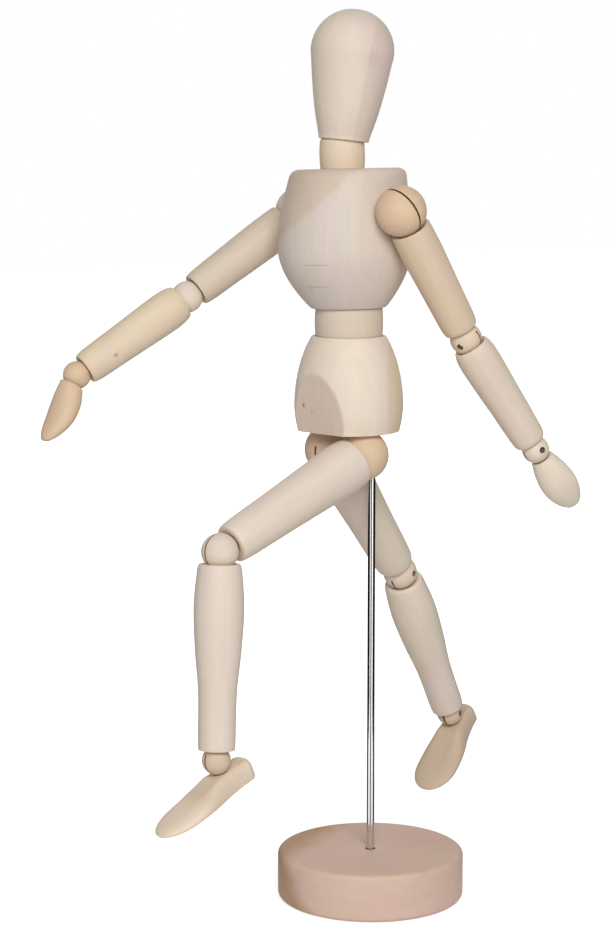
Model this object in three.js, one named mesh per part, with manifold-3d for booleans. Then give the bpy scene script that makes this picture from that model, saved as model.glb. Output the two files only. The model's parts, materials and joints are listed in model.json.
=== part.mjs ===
// Jointed wooden artist's figure on a steel rod and a round wooden base, in a walking pose.
// Millimetres, +Z up. The pelvis faces -Y and the figure's left side is +X.
// The origin is the centre of the base's underside.
import * as THREE from 'three';
import { mergeVertices } from 'three/addons/utils/BufferGeometryUtils.js';
import Module from 'manifold-3d';

const wasm = await Module();
wasm.setup();

// Fits shared by all pieces
const CLEARANCE = 0.3; // running gap between pieces that touch
const WIRE_RADIUS = 0.3; // spring, eye and yoke wire
const PIN_RADIUS = 0.8; // cross pin in the middle of each limb ball
const PIN_RECESS = 1.3; // how far a pin's ends lie below the ball's surface
const COIL_RADIUS = 1.8; // spring coil, at the middle of the wire
const COIL_TURNS = 4;
const COIL_END_GAP = 4; // from a limb ball's surface to the nearest coil
const COIL_LEAD = 1.5; // wire between a coil's end and the straight part
const SWIVEL_HEAD_RADIUS = 1.0; // headed wire end that a ball turns on
const SWIVEL_HEAD_HEIGHT = 0.9;
const SWIVEL_SEAT = 0.1; // wood between a ball's slit and its swivel head
const LIP = 0.5; // least width of the wooden rim round a cup
const OVERRUN = 1; // how far a cutter runs past the surface it cuts

// Stand
const BASE_RADIUS = 32.3;
const BASE_HEIGHT = 16.4;
const BASE_EDGE_ROUND = 1.8;
const ROD_RADIUS = 1.3;
const ROD_BASE_DEPTH = 12; // length let into the base
const ROD_BASE_HOLE_GAP = 0.5; // the hole in the base is drilled a little wide
const ROD_EXPOSED = 148.1; // from the base's top to the pelvis
const ROD_PELVIS_DEPTH = 13; // length let into the pelvis
const ROD_BACK = 10; // rod's distance behind the pelvis axis

// Pelvis, a turned piece with a flat bevel at the front for the raised thigh
const PELVIS_HEIGHT = 32.2;
const PELVIS_BOTTOM_RADIUS = 17.3;
const PELVIS_BELLY_RADIUS = 18.4;
const PELVIS_BELLY_HEIGHT = 8.5;
const PELVIS_EDGE = 0.6;
const BEVEL_TOP_HEIGHT = 20.4; // where the bevel runs out on the side
const BEVEL_TOP_REACH = 17.2; // bevel's distance from the axis there
const BEVEL_BOTTOM_REACH = 13.8; // bevel's distance from the axis at the pelvis's underside
const BEVEL_TURN = 10; // degrees that the bevel is turned from the front to the figure's left
const HIP_HALF_SPACING = 9.2;
const HIP_FORWARD = 1; // hip line in front of the pelvis axis
const HIP_DROP = 7.3; // hip ball centre below the pelvis's underside
const YOKE_HEIGHT = 17.5; // bridge of the hip yoke above the pelvis's underside
const YOKE_BEND = 2; // rounding of the yoke's corners

// Waist and neck barrels: a ball with its middle turned down
const WAIST_RADIUS = 11.3;
const WAIST_HALF_GAP = 4.65;
const NECK_RADIUS = 7.35;
const NECK_HALF_GAP = 4.7;
const BARREL_BULGE = 0.25; // swelling of the turned-down middle

// Chest, round and a little fuller at the front; the shoulder balls sit in shallow cups and stand proud of it
const CHEST_HEIGHT = 46.4;
const CHEST_RADIUS = 21.6;
const CHEST_FULLNESS = 1.3; // half of what the front stands out beyond the back
const CHEST_SWELL_HEIGHT = 20;
const CHEST_TOP_RADIUS = 19.6;
const CHEST_TOP_BACK = 1; // how far the top lies behind the waist
const CHEST_CORNER_ROUND = 3;
const SHOULDER_HALF_SPACING = 27.9;
const SHOULDER_HEIGHT = 32.2;
const SHOULDER_BACK = 0.9; // shoulder line behind the chest axis
const NECK_FORWARD = 1.5; // neck seat in front of the chest axis
const CHEST_PIN_HEIGHT = 12;
const CHEST_PIN_HALF_LENGTH = 13;
const SHOULDER_COIL_TURNS = 3;

// Head, a turned drop with a round crown
const HEAD_BOTTOM_RADIUS = 8.5;
const HEAD_EDGE = 1.1; // rounding of the lower edge
const HEAD_BULGE = 0.5; // swelling of the side between the lower edge and the crown
const HEAD_CROWN_RADIUS = 13.9;
const HEAD_CROWN_HEIGHT = 29.4; // crown's centre above the head's underside
const HEAD_TAIL_DEPTH = 16; // neck spring's reach above the neck's centre

// Limb balls
const SHOULDER_BALL_RADIUS = 8.4;
const ELBOW_BALL_RADIUS = 5.4;
const WRIST_BALL_RADIUS = 4.7;
const HIP_BALL_RADIUS = 8.7;
const KNEE_BALL_RADIUS = 6.1;
const ANKLE_BALL_RADIUS = 4.7;

// Limbs, joint centre to joint centre
const UPPER_ARM_LENGTH = 50;
const FOREARM_LENGTH = 46.5;
const HAND_LENGTH = 25.5;
const THIGH_LENGTH = 66;
const SHIN_LENGTH = 67.5;

// Limb swellings: greatest radius and its distance from the upper joint
const UPPER_ARM_RADIUS = 7.1;
const UPPER_ARM_SWELL = 18;
const FOREARM_RADIUS = 6.9;
const FOREARM_SWELL = 11;
const THIGH_RADIUS = 8.8;
const THIGH_SWELL = 14;
const SHIN_RADIUS = 8.2;
const SHIN_SWELL = 18;
const SHIN_NARROW_RADIUS = 6.3;
const SHIN_NARROW_ABOVE_ANKLE = 22;

// Ends of the limbs: distance of each rim from its ball's centre, as a share of the ball's radius
const UPPER_ARM_RIM_SHARE = 0.83;
const UPPER_ARM_FOOT_SHARE = 0.74;
const FOREARM_RIM_SHARE = 0.54;
const FOREARM_FOOT_SHARE = 0.72;
const THIGH_RIM_SHARE = 0.62;
const THIGH_FOOT_SHARE = 0.8;
const SHIN_RIM_SHARE = 0.64;
const SHIN_FOOT_SHARE = 0.85;
const HAND_RIM_SHARE = 0.85;

// How a limb swells below its upper rim and narrows again; shares are of the swelling
const ROUND_LENGTH = 2.5;
const ROUND_SHARE = 0.75;
const TAPER_MIDDLE_SHARE = 0.66;
const TAPER_END_LENGTH = 3;
const TAPER_END_SHARE = 0.4;
const SHIN_ROUND_SHARE = 0.45;
const SHIN_CALF = 0.3; // fullness of the calf between its widest and narrowest circles
const SHIN_EDGE = 0.5; // rounding of the shin's lower edge

// Hand and foot
const HAND_HALF_WIDTH = 6.2;
const HAND_HALF_THICKNESS = 4.6;
const HAND_CURL = 1.6; // how far the middle of the hand bows away from a straight line
const HAND_EYE_LENGTH = 7; // length of the wrist eye's shank in the hand
const FOOT_HEEL_REACH = 10.4;
const FOOT_HEEL_HALF_WIDTH = 5;
const FOOT_HEEL_ROUND = 3.2; // length of the rounded heel
const FOOT_HEEL_EDGE = 1.6; // rounding of the heel's upper edge
const FOOT_TOE_REACH = 29.5;
const FOOT_TOE_HALF_WIDTH = 8.2;
const FOOT_TOE_SWELL = 19; // widest place in front of the ankle
const FOOT_THICKNESS = 6.8;
const FOOT_INSTEP_REACH = 12.5; // where the top bends down towards the toe
const FOOT_INSTEP_THICKNESS = 4.3;
const FOOT_TOE_THICKNESS = 2;
const FOOT_EYE_LENGTH = 3.6; // length of the ankle eye's shank in the foot
const FOOT_SOLE_DROP = 11.2; // sole below the ankle's centre

// Shapes given as shares of the sizes above, from one end to the other
const HAND_OUTLINE = [ // from the tip: free length, half width, half thickness
  [1, 0.12, 0.1],
  [0.95, 0.4, 0.3],
  [0.82, 0.72, 0.56],
  [0.62, 0.95, 0.8],
  [0.42, 1, 0.95],
  [0.2, 0.88, 1],
];
const CHEST_LOWER_RINGS = [0, 0.15, 0.32, 0.5, 0.72, 1]; // heights from the underside to the widest circle
const CHEST_LOWER_ROUNDNESS = 0.9;
const CHEST_UPPER_RINGS = [0.4, 0.75, 1]; // heights from the widest circle to the upper corner
const CHEST_UPPER_ROUNDNESS = 1.6;
const HEAD_SIDE_RINGS = [0.3, 0.6, 0.85]; // heights from the underside to the crown's centre
const EYE_DRAW_IN = 0.4; // sideways offset of a spring's lower eye left where its coil starts

// Pose, in degrees: a ball turns about its parent's axis, then the limb swings about the ball's pin.
// pinFrom is the side of the ball, along its own X, that its pin was driven in from.
// A hand is also rolled on the shank of its wire eye.
const POSE = {
  waist: { turn: -90, swing: 2 },
  neck: { turn: -36, swing: -6.8 },
  leftShoulder: { turn: 59.2, swing: 88.3, pinFrom: 1 },
  leftElbow: { turn: 21.7, swing: -6, pinFrom: -1 },
  leftWrist: { turn: 60, swing: -2.9, pinFrom: -1, roll: 62 },
  rightShoulder: { turn: 34.7, swing: -77.5, pinFrom: 1 },
  rightElbow: { turn: -111.1, swing: -1.8, pinFrom: -1 },
  rightWrist: { turn: -11.5, swing: 27.5, pinFrom: -1, roll: 35 },
  leftHip: { turn: 3.2, swing: -66.9, pinFrom: -1 },
  leftKnee: { turn: -4, swing: 62.6, pinFrom: -1 },
  leftAnkle: { turn: 0, swing: 26, pinFrom: -1 },
  rightHip: { turn: 17.7, swing: 41.4, pinFrom: 1 },
  rightKnee: { turn: 0.9, swing: -11.6, pinFrom: 1 },
  rightAnkle: { turn: 3, swing: 3, pinFrom: 1 },
};

// Facets round each kind of piece
const LIMB_SIDES = 14;
const BALL_SIDES = 12;
const BODY_SIDES = 20;
const BASE_SIDES = 36;
const WIRE_SIDES = 4;
const HOLE_SIDES = 8;
const SPLINE_STEPS = 7;
const STEPS_PER_TURN = 5; // along a spring's coil
const END_STEPS = 6; // along a spring's two straight ends
const YOKE_STEPS = 36;
const BELLY_STEPS = 7; // up the pelvis's side
const BELLY_FOOT_STEPS = 3; // below its widest circle
const BARREL_CAP_STEPS = 3;
const CROWN_STEPS = 5;
const EDGE_ANGLES = [0, 45, 90]; // degrees round the base's edges
const CORNER_ANGLES = [30, 60, 90]; // degrees round the chest's upper corner
const FOOT_CURVE_STEPS = 6;

// Sizes that follow from the ones above
const EYE_RADIUS = PIN_RADIUS + CLEARANCE + WIRE_RADIUS;
const SLIT_WIDTH = 2 * (WIRE_RADIUS + CLEARANCE);
const SLIT_TOP = EYE_RADIUS + WIRE_RADIUS + CLEARANCE;
const SWIVEL_HEAD_BOTTOM = SLIT_TOP + SWIVEL_SEAT;
const SWIVEL_HOLE_RADIUS = WIRE_RADIUS + CLEARANCE;
const SWIVEL_POCKET_RADIUS = SWIVEL_HEAD_RADIUS + CLEARANCE;
const SWIVEL_POCKET_TOP = SWIVEL_HEAD_BOTTOM + SWIVEL_HEAD_HEIGHT + CLEARANCE;
const PIN_HOLE_RADIUS = PIN_RADIUS + CLEARANCE;
const BORE_RADIUS = COIL_RADIUS + WIRE_RADIUS + 1.5 * CLEARANCE;
const CHANNEL_RADIUS = EYE_RADIUS + WIRE_RADIUS + CLEARANCE;
const EYE_STRAIGHT = 4 * EYE_RADIUS; // from an eye's centre to the spring's coil
const HAND_EYE_REACH = WRIST_BALL_RADIUS + HAND_EYE_LENGTH;
const FOOT_EYE_REACH = ANKLE_BALL_RADIUS + FOOT_EYE_LENGTH;

const PELVIS_BOTTOM = BASE_HEIGHT + ROD_EXPOSED;
const WAIST_HEIGHT = PELVIS_HEIGHT + WAIST_HALF_GAP; // barrel centre above the pelvis's underside
const NECK_HEIGHT = CHEST_HEIGHT + NECK_HALF_GAP; // barrel centre above the chest's underside

const WOOD = { color: 0xe2d3bd, roughness: 0.62, metalness: 0 };
const TAN_WOOD = { color: 0xd8bb95, roughness: 0.6, metalness: 0 };
const STEEL = { color: 0xb8b8ba, roughness: 0.25, metalness: 1 };

const degrees = THREE.MathUtils.degToRad;
const between = THREE.MathUtils.lerp;
const point = (x, y, z) => new THREE.Vector3(x, y, z);

// Corner radius of a faceted cup whose flats clear a ball of the given radius
function cupRadius(ballRadius, sides) {
  return (ballRadius + CLEARANCE) / Math.cos(Math.PI / sides) ** 2;
}

// Radius of the circle where a limb ball's cup meets a plane off the ball's centre
function rimRadius(ballRadius, planeDistance) {
  return Math.sqrt(cupRadius(ballRadius, BALL_SIDES) ** 2 - planeDistance ** 2);
}

// A closed solid from a closed geometry
function solid(geometry) {
  geometry.deleteAttribute('normal');
  geometry.deleteAttribute('uv');
  const merged = mergeVertices(geometry, 1e-4);
  const corners = [];
  const index = merged.index.array;
  for (let i = 0; i < index.length; i += 3) {
    const [a, b, c] = [index[i], index[i + 1], index[i + 2]];
    if (a !== b && b !== c && c !== a) corners.push(a, b, c);
  }
  return new wasm.Manifold(new wasm.Mesh({
    numProp: 3,
    vertProperties: new Float32Array(merged.attributes.position.array),
    triVerts: new Uint32Array(corners),
  }));
}

// Turned piece about Z; the profile runs upwards from the axis to the axis as [radius, height]
function turned(profile, sides) {
  const outline = profile.map(([radius, height]) => new THREE.Vector2(radius, height));
  return solid(new THREE.LatheGeometry(outline, sides).rotateX(Math.PI / 2));
}

function ball(radius, sides = BALL_SIDES) {
  return solid(new THREE.SphereGeometry(radius, sides, sides / 2).rotateX(Math.PI / 2));
}

function cup(ballRadius, sides = BALL_SIDES) {
  return ball(cupRadius(ballRadius, sides), sides);
}

// Round bar along Z between two heights
function bar(radius, low, high, sides = HOLE_SIDES) {
  return turned([[0, low], [radius, low], [radius, high], [0, high]], sides);
}

function box(width, depth, low, high) {
  const geometry = new THREE.BoxGeometry(width, depth, high - low);
  return solid(geometry.translate(0, 0, (low + high) / 2));
}

function wireRing() {
  const ring = new THREE.TorusGeometry(EYE_RADIUS, WIRE_RADIUS, WIRE_SIDES, HOLE_SIDES);
  return solid(ring.rotateY(Math.PI / 2));
}

// Smooth outline through [distance, radius] stations, given as [radius, -distance] from the far end up
function limbProfile(stations) {
  const knots = stations.map(([distance, radius]) => new THREE.Vector2(radius, -distance));
  const outline = new THREE.SplineCurve(knots).getPoints(SPLINE_STEPS).reverse();
  const first = outline[0].y;
  const last = outline[outline.length - 1].y;
  return [[0, first], ...outline.map((p) => [p.x, p.y]), [0, last]];
}

// Oval rings stacked along Z from the bottom up, as [height, half width, half depth, shift towards -Y]
function loft(stations, sides) {
  const positions = [];
  const faces = [];
  for (const [height, halfWidth, halfDepth, forward = 0] of stations) {
    for (let i = 0; i < sides; i += 1) {
      const angle = (2 * Math.PI * i) / sides;
      positions.push(halfWidth * Math.cos(angle), halfDepth * Math.sin(angle) - forward, height);
    }
  }
  for (let ring = 0; ring + 1 < stations.length; ring += 1) {
    for (let i = 0; i < sides; i += 1) {
      const next = (i + 1) % sides;
      const [a, b] = [ring * sides + i, ring * sides + next];
      faces.push(a, b, b + sides, a, b + sides, a + sides);
    }
  }
  const top = (stations.length - 1) * sides;
  const bottomCentre = positions.length / 3;
  positions.push(0, 0, stations[0][0], 0, 0, stations[stations.length - 1][0]);
  for (let i = 0; i < sides; i += 1) {
    const next = (i + 1) % sides;
    faces.push(bottomCentre, next, i, bottomCentre + 1, top + i, top + next);
  }
  const geometry = new THREE.BufferGeometry();
  geometry.setAttribute('position', new THREE.Float32BufferAttribute(positions, 3));
  geometry.setIndex(faces);
  return solid(geometry);
}

// Wire bent along a list of points
function wire(points, steps) {
  const section = new THREE.Shape();
  for (let i = 0; i < WIRE_SIDES; i += 1) {
    const angle = (2 * Math.PI * i) / WIRE_SIDES;
    const [x, y] = [WIRE_RADIUS * Math.cos(angle), WIRE_RADIUS * Math.sin(angle)];
    if (i === 0) section.moveTo(x, y);
    else section.lineTo(x, y);
  }
  section.closePath();
  const extrudePath = new THREE.CatmullRomCurve3(points, false, 'centripetal');
  return solid(new THREE.ExtrudeGeometry(section, { steps, extrudePath }));
}

// Points of a coil about Z, with its ends drawn in to the axis
function coilPoints(low, high, turns) {
  const count = turns * STEPS_PER_TURN;
  const points = [];
  for (let i = 0; i <= count; i += 1) {
    const angle = (2 * Math.PI * i) / STEPS_PER_TURN;
    const radius = i === 0 || i === count ? COIL_RADIUS / 2 : COIL_RADIUS;
    points.push(point(radius * Math.cos(angle), radius * Math.sin(angle), between(low, high, i / count)));
  }
  return points;
}

function swivelHead(bottom) {
  return bar(SWIVEL_HEAD_RADIUS, bottom, bottom + SWIVEL_HEAD_HEIGHT);
}

// Pieces: each function gives a solid with its upper joint's centre at the origin and its length along -Z

// Limb ball: a slit for the next limb's wire, a blind hole for the cross pin, a headed swivel's hole on top
function limbBall(radius, pinFrom) {
  const outside = radius + OVERRUN;
  const pinEnd = radius - PIN_RECESS + CLEARANCE;
  const slit = box(SLIT_WIDTH, 2 * outside, -outside, SLIT_TOP);
  const pinHole = bar(PIN_HOLE_RADIUS, -pinEnd, outside).rotate([0, 90 * pinFrom, 0]);
  const pocket = bar(SWIVEL_POCKET_RADIUS, 0, SWIVEL_POCKET_TOP);
  const swivelHole = bar(SWIVEL_HOLE_RADIUS, 0, outside);
  return ball(radius).subtract(slit).subtract(pinHole).subtract(pocket).subtract(swivelHole);
}

function crossPin(half) {
  return bar(PIN_RADIUS, -half, half).rotate([0, 90, 0]);
}

// Turned limb with a cup at each end and a bore for its spring
function limb(stations, length, upperBall, lowerBall) {
  const lowerCup = cup(lowerBall).translate([0, 0, -length]);
  const bore = bar(BORE_RADIUS, -length, 0);
  const body = turned(limbProfile(stations), LIMB_SIDES);
  return body.subtract(cup(upperBall)).subtract(lowerCup).subtract(bore);
}

// Spring of a limb: an eye round the upper ball's pin, a coil, and a headed end in the lower ball
function limbSpring(length, upperBall, lowerBall) {
  const coilTop = -upperBall - COIL_END_GAP;
  const coilBottom = lowerBall + COIL_END_GAP - length;
  const headBottom = SWIVEL_HEAD_BOTTOM - length;
  const points = [
    point(0, 0, headBottom + SWIVEL_HEAD_HEIGHT / 2),
    point(0, 0, coilBottom - COIL_LEAD),
    ...coilPoints(coilBottom, coilTop, COIL_TURNS),
    point(0, 0, coilTop + COIL_LEAD),
    point(0, 0, -EYE_RADIUS),
  ];
  const spring = wire(points, COIL_TURNS * STEPS_PER_TURN + END_STEPS);
  return spring.add(swivelHead(headBottom)).add(wireRing());
}

// Screw eye of a hand or foot: a ring round the pin and a straight shank
function screwEye(reach) {
  return bar(WIRE_RADIUS, -reach, -EYE_RADIUS, WIRE_SIDES).add(wireRing());
}

// Limb that swells once, below its upper rim, and narrows to its lower rim
function taperedLimb({ length, swell, radius, upperBall, upperRim, lowerBall, lowerRim }) {
  const rim = upperRim * upperBall;
  const rimWidth = rimRadius(upperBall, rim) + LIP;
  const foot = length - lowerRim * lowerBall;
  const footWidth = rimRadius(lowerBall, length - foot) + 2 * LIP;
  const stations = [
    [rim, rimWidth],
    [rim + ROUND_LENGTH, between(rimWidth, radius, ROUND_SHARE)],
    [swell, radius],
    [(swell + foot) / 2, between(footWidth, radius, TAPER_MIDDLE_SHARE)],
    [foot - TAPER_END_LENGTH, between(footWidth, radius, TAPER_END_SHARE)],
    [foot, footWidth],
  ];
  return limb(stations, length, upperBall, lowerBall);
}

function upperArm() {
  return taperedLimb({
    length: UPPER_ARM_LENGTH,
    swell: UPPER_ARM_SWELL,
    radius: UPPER_ARM_RADIUS,
    upperBall: SHOULDER_BALL_RADIUS,
    upperRim: UPPER_ARM_RIM_SHARE,
    lowerBall: ELBOW_BALL_RADIUS,
    lowerRim: UPPER_ARM_FOOT_SHARE,
  });
}

function forearm() {
  return taperedLimb({
    length: FOREARM_LENGTH,
    swell: FOREARM_SWELL,
    radius: FOREARM_RADIUS,
    upperBall: ELBOW_BALL_RADIUS,
    upperRim: FOREARM_RIM_SHARE,
    lowerBall: WRIST_BALL_RADIUS,
    lowerRim: FOREARM_FOOT_SHARE,
  });
}

function thigh() {
  return taperedLimb({
    length: THIGH_LENGTH,
    swell: THIGH_SWELL,
    radius: THIGH_RADIUS,
    upperBall: HIP_BALL_RADIUS,
    upperRim: THIGH_RIM_SHARE,
    lowerBall: KNEE_BALL_RADIUS,
    lowerRim: THIGH_FOOT_SHARE,
  });
}

// Shin: a calf, a narrow part and a nearly straight end above the ankle
function shin() {
  const rim = SHIN_RIM_SHARE * KNEE_BALL_RADIUS;
  const rimWidth = rimRadius(KNEE_BALL_RADIUS, rim) + 2 * LIP;
  const narrow = SHIN_LENGTH - SHIN_NARROW_ABOVE_ANKLE;
  const calf = (SHIN_RADIUS + SHIN_NARROW_RADIUS) / 2 + SHIN_CALF;
  const foot = SHIN_LENGTH - SHIN_FOOT_SHARE * ANKLE_BALL_RADIUS;
  const stations = [
    [rim, rimWidth],
    [rim + ROUND_LENGTH, between(rimWidth, SHIN_RADIUS, SHIN_ROUND_SHARE)],
    [SHIN_SWELL, SHIN_RADIUS],
    [(SHIN_SWELL + narrow) / 2, calf],
    [narrow, SHIN_NARROW_RADIUS],
    [foot - 2 * SHIN_EDGE, SHIN_NARROW_RADIUS - SHIN_EDGE / 2],
    [foot, SHIN_NARROW_RADIUS - 1.5 * SHIN_EDGE],
  ];
  return limb(stations, SHIN_LENGTH, KNEE_BALL_RADIUS, ANKLE_BALL_RADIUS);
}

// Flat almond hand, wide along X
function hand() {
  const rim = HAND_RIM_SHARE * WRIST_BALL_RADIUS;
  const rimWidth = rimRadius(WRIST_BALL_RADIUS, rim) + LIP;
  const free = HAND_LENGTH - rim;
  const stations = HAND_OUTLINE.map(([share, width, thickness]) => [
    -rim - share * free,
    width * HAND_HALF_WIDTH,
    thickness * HAND_HALF_THICKNESS,
    -HAND_CURL * Math.sin(Math.PI * share),
  ]);
  stations.push([-rim, rimWidth, rimWidth]);
  const shankHole = bar(SWIVEL_HOLE_RADIUS, -HAND_EYE_REACH - CLEARANCE, 0);
  return loft(stations, LIMB_SIDES).subtract(cup(WRIST_BALL_RADIUS)).subtract(shankHole);
}

// Plan of the foot, its toe towards +Y: a round heel, a wider round toe and a smooth side between them
function footPlan() {
  const [heelWidth, toeWidth] = [FOOT_HEEL_HALF_WIDTH, FOOT_TOE_HALF_WIDTH];
  const heel = FOOT_HEEL_ROUND - FOOT_HEEL_REACH;
  const toe = FOOT_TOE_SWELL;
  const middle = (heel + toe) / 2;
  const plan = new THREE.Shape();
  plan.moveTo(-heelWidth, heel);
  plan.absellipse(0, heel, heelWidth, FOOT_HEEL_ROUND, Math.PI, 2 * Math.PI, false);
  plan.bezierCurveTo(heelWidth, middle, toeWidth, middle, toeWidth, toe);
  plan.absellipse(0, toe, toeWidth, FOOT_TOE_REACH - toe, 0, Math.PI, false);
  plan.bezierCurveTo(-toeWidth, middle, -heelWidth, middle, -heelWidth, heel);
  return plan;
}

// Side view of the foot, its toe towards +X and its sole at height 0, a little longer than the plan
function footSide() {
  const back = -FOOT_HEEL_REACH - OVERRUN;
  const toeRound = FOOT_TOE_THICKNESS / 2;
  const toe = FOOT_TOE_REACH + OVERRUN / 2 - toeRound;
  const top = FOOT_THICKNESS;
  const side = new THREE.Shape();
  side.moveTo(back, 0);
  side.lineTo(toe, 0);
  side.absarc(toe, toeRound, toeRound, -Math.PI / 2, Math.PI / 2, false);
  side.quadraticCurveTo(FOOT_INSTEP_REACH, FOOT_INSTEP_THICKNESS, ANKLE_BALL_RADIUS, top);
  side.lineTo(FOOT_HEEL_EDGE - FOOT_HEEL_REACH, top);
  side.quadraticCurveTo(-FOOT_HEEL_REACH, top, back, top - FOOT_HEEL_EDGE);
  side.closePath();
  return side;
}

// Foot: sawn to its plan and its side view, with the ankle's cup in its top and the toe towards -Y
function foot() {
  const saw = { bevelEnabled: false, curveSegments: FOOT_CURVE_STEPS };
  const plate = new THREE.ExtrudeGeometry(footPlan(), { ...saw, depth: FOOT_THICKNESS });
  plate.rotateZ(Math.PI).translate(0, 0, -FOOT_SOLE_DROP);
  const width = 2 * (FOOT_TOE_HALF_WIDTH + OVERRUN);
  const block = new THREE.ExtrudeGeometry(footSide(), { ...saw, depth: width });
  block.translate(0, 0, -width / 2).rotateX(Math.PI / 2).rotateZ(-Math.PI / 2);
  block.translate(0, 0, -FOOT_SOLE_DROP);
  const shankHole = bar(SWIVEL_HOLE_RADIUS, -FOOT_EYE_REACH - CLEARANCE, 0);
  return solid(plate).intersect(solid(block)).subtract(cup(ANKLE_BALL_RADIUS)).subtract(shankHole);
}

// Barrel of the waist or neck: a ball turned down to a slightly swollen middle, bored for its spring
function barrel(radius, halfGap) {
  const sphere = Math.hypot(radius, halfGap);
  const rimAngle = Math.asin(halfGap / sphere);
  const cap = [];
  for (let i = 0; i < BARREL_CAP_STEPS; i += 1) {
    const angle = between(rimAngle, Math.PI / 2, i / BARREL_CAP_STEPS);
    cap.push([sphere * Math.cos(angle), sphere * Math.sin(angle)]);
  }
  const lower = cap.map(([r, height]) => [r, -height]).reverse();
  const profile = [[0, -sphere], ...lower, [radius + BARREL_BULGE, 0], ...cap, [0, sphere]];
  return turned(profile, BODY_SIDES).subtract(bar(BORE_RADIUS, -sphere - OVERRUN, sphere + OVERRUN));
}

function barrelCup(radius, halfGap) {
  return cup(Math.hypot(radius, halfGap), BODY_SIDES);
}

function barrelRim(radius, halfGap) {
  const corner = cupRadius(Math.hypot(radius, halfGap), BODY_SIDES);
  return Math.sqrt(corner ** 2 - halfGap ** 2) + LIP;
}

// Points of an elliptic turned side from its widest circle to a narrower end, as [radius, height]
function bellySide(widest, widestHeight, end, endHeight, steps) {
  const reach = (endHeight - widestHeight) / Math.sqrt(1 - (end / widest) ** 2);
  const points = [];
  for (let i = 0; i <= steps; i += 1) {
    const height = between(widestHeight, endHeight, i / steps);
    points.push([widest * Math.sqrt(1 - ((height - widestHeight) / reach) ** 2), height]);
  }
  return points;
}

// Pelvis, from its underside up, on its own axis
function pelvis() {
  const [belly, bellyHeight] = [PELVIS_BELLY_RADIUS, PELVIS_BELLY_HEIGHT];
  const topRadius = barrelRim(WAIST_RADIUS, WAIST_HALF_GAP);
  const upper = bellySide(belly, bellyHeight, topRadius, PELVIS_HEIGHT, BELLY_STEPS);
  const lower = bellySide(belly, bellyHeight, PELVIS_BOTTOM_RADIUS, PELVIS_EDGE, BELLY_FOOT_STEPS);
  let body = turned([
    [0, 0],
    [PELVIS_BOTTOM_RADIUS - PELVIS_EDGE, 0],
    ...lower.reverse(),
    ...upper.slice(1),
    [0, PELVIS_HEIGHT],
  ], BODY_SIDES);

  const slope = Math.atan2(BEVEL_TOP_REACH - BEVEL_BOTTOM_REACH, BEVEL_TOP_HEIGHT);
  const bevel = new THREE.BoxGeometry(4 * belly, belly, 4 * PELVIS_HEIGHT).translate(0, -belly / 2, 0);
  bevel.rotateX(slope).translate(0, -BEVEL_BOTTOM_REACH, 0).rotateZ(degrees(BEVEL_TURN));
  body = body.subtract(solid(bevel));

  body = body.subtract(barrelCup(WAIST_RADIUS, WAIST_HALF_GAP).translate([0, 0, WAIST_HEIGHT]));
  body = body.subtract(bar(BORE_RADIUS, YOKE_HEIGHT - CHANNEL_RADIUS, PELVIS_HEIGHT));
  const channel = bar(CHANNEL_RADIUS, -HIP_HALF_SPACING, HIP_HALF_SPACING).rotate([0, 90, 0]);
  body = body.subtract(channel.translate([0, -HIP_FORWARD, YOKE_HEIGHT]));
  for (const side of [-1, 1]) {
    const across = side * HIP_HALF_SPACING;
    const hipCup = cup(HIP_BALL_RADIUS).translate([across, -HIP_FORWARD, -HIP_DROP]);
    const legHole = bar(CHANNEL_RADIUS, -OVERRUN, YOKE_HEIGHT).translate([across, -HIP_FORWARD, 0]);
    body = body.subtract(hipCup).subtract(legHole);
  }
  const rodHole = bar(ROD_RADIUS + CLEARANCE, -OVERRUN, ROD_PELVIS_DEPTH + CLEARANCE, LIMB_SIDES);
  return body.subtract(rodHole.translate([0, ROD_BACK, 0]));
}

// Wire yoke in the pelvis: a bridge for the waist spring and two headed legs that hold the hip balls
function hipYoke() {
  const headBottom = SWIVEL_HEAD_BOTTOM - HIP_DROP;
  const legEnd = headBottom + SWIVEL_HEAD_HEIGHT / 2;
  const [half, top, bend] = [HIP_HALF_SPACING, YOKE_HEIGHT, YOKE_BEND];
  const leg = (side) => [
    point(side * half, 0, legEnd),
    point(side * half, 0, top - 3 * bend),
    point(side * half, 0, top - bend),
    point(side * (half - bend), 0, top),
    point(side * (half - 3 * bend), 0, top),
  ];
  let yoke = wire([...leg(-1), point(0, 0, top), ...leg(1).reverse()], YOKE_STEPS);
  for (const side of [-1, 1]) yoke = yoke.add(swivelHead(headBottom).translate([side * half, 0, 0]));
  return yoke;
}

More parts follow.
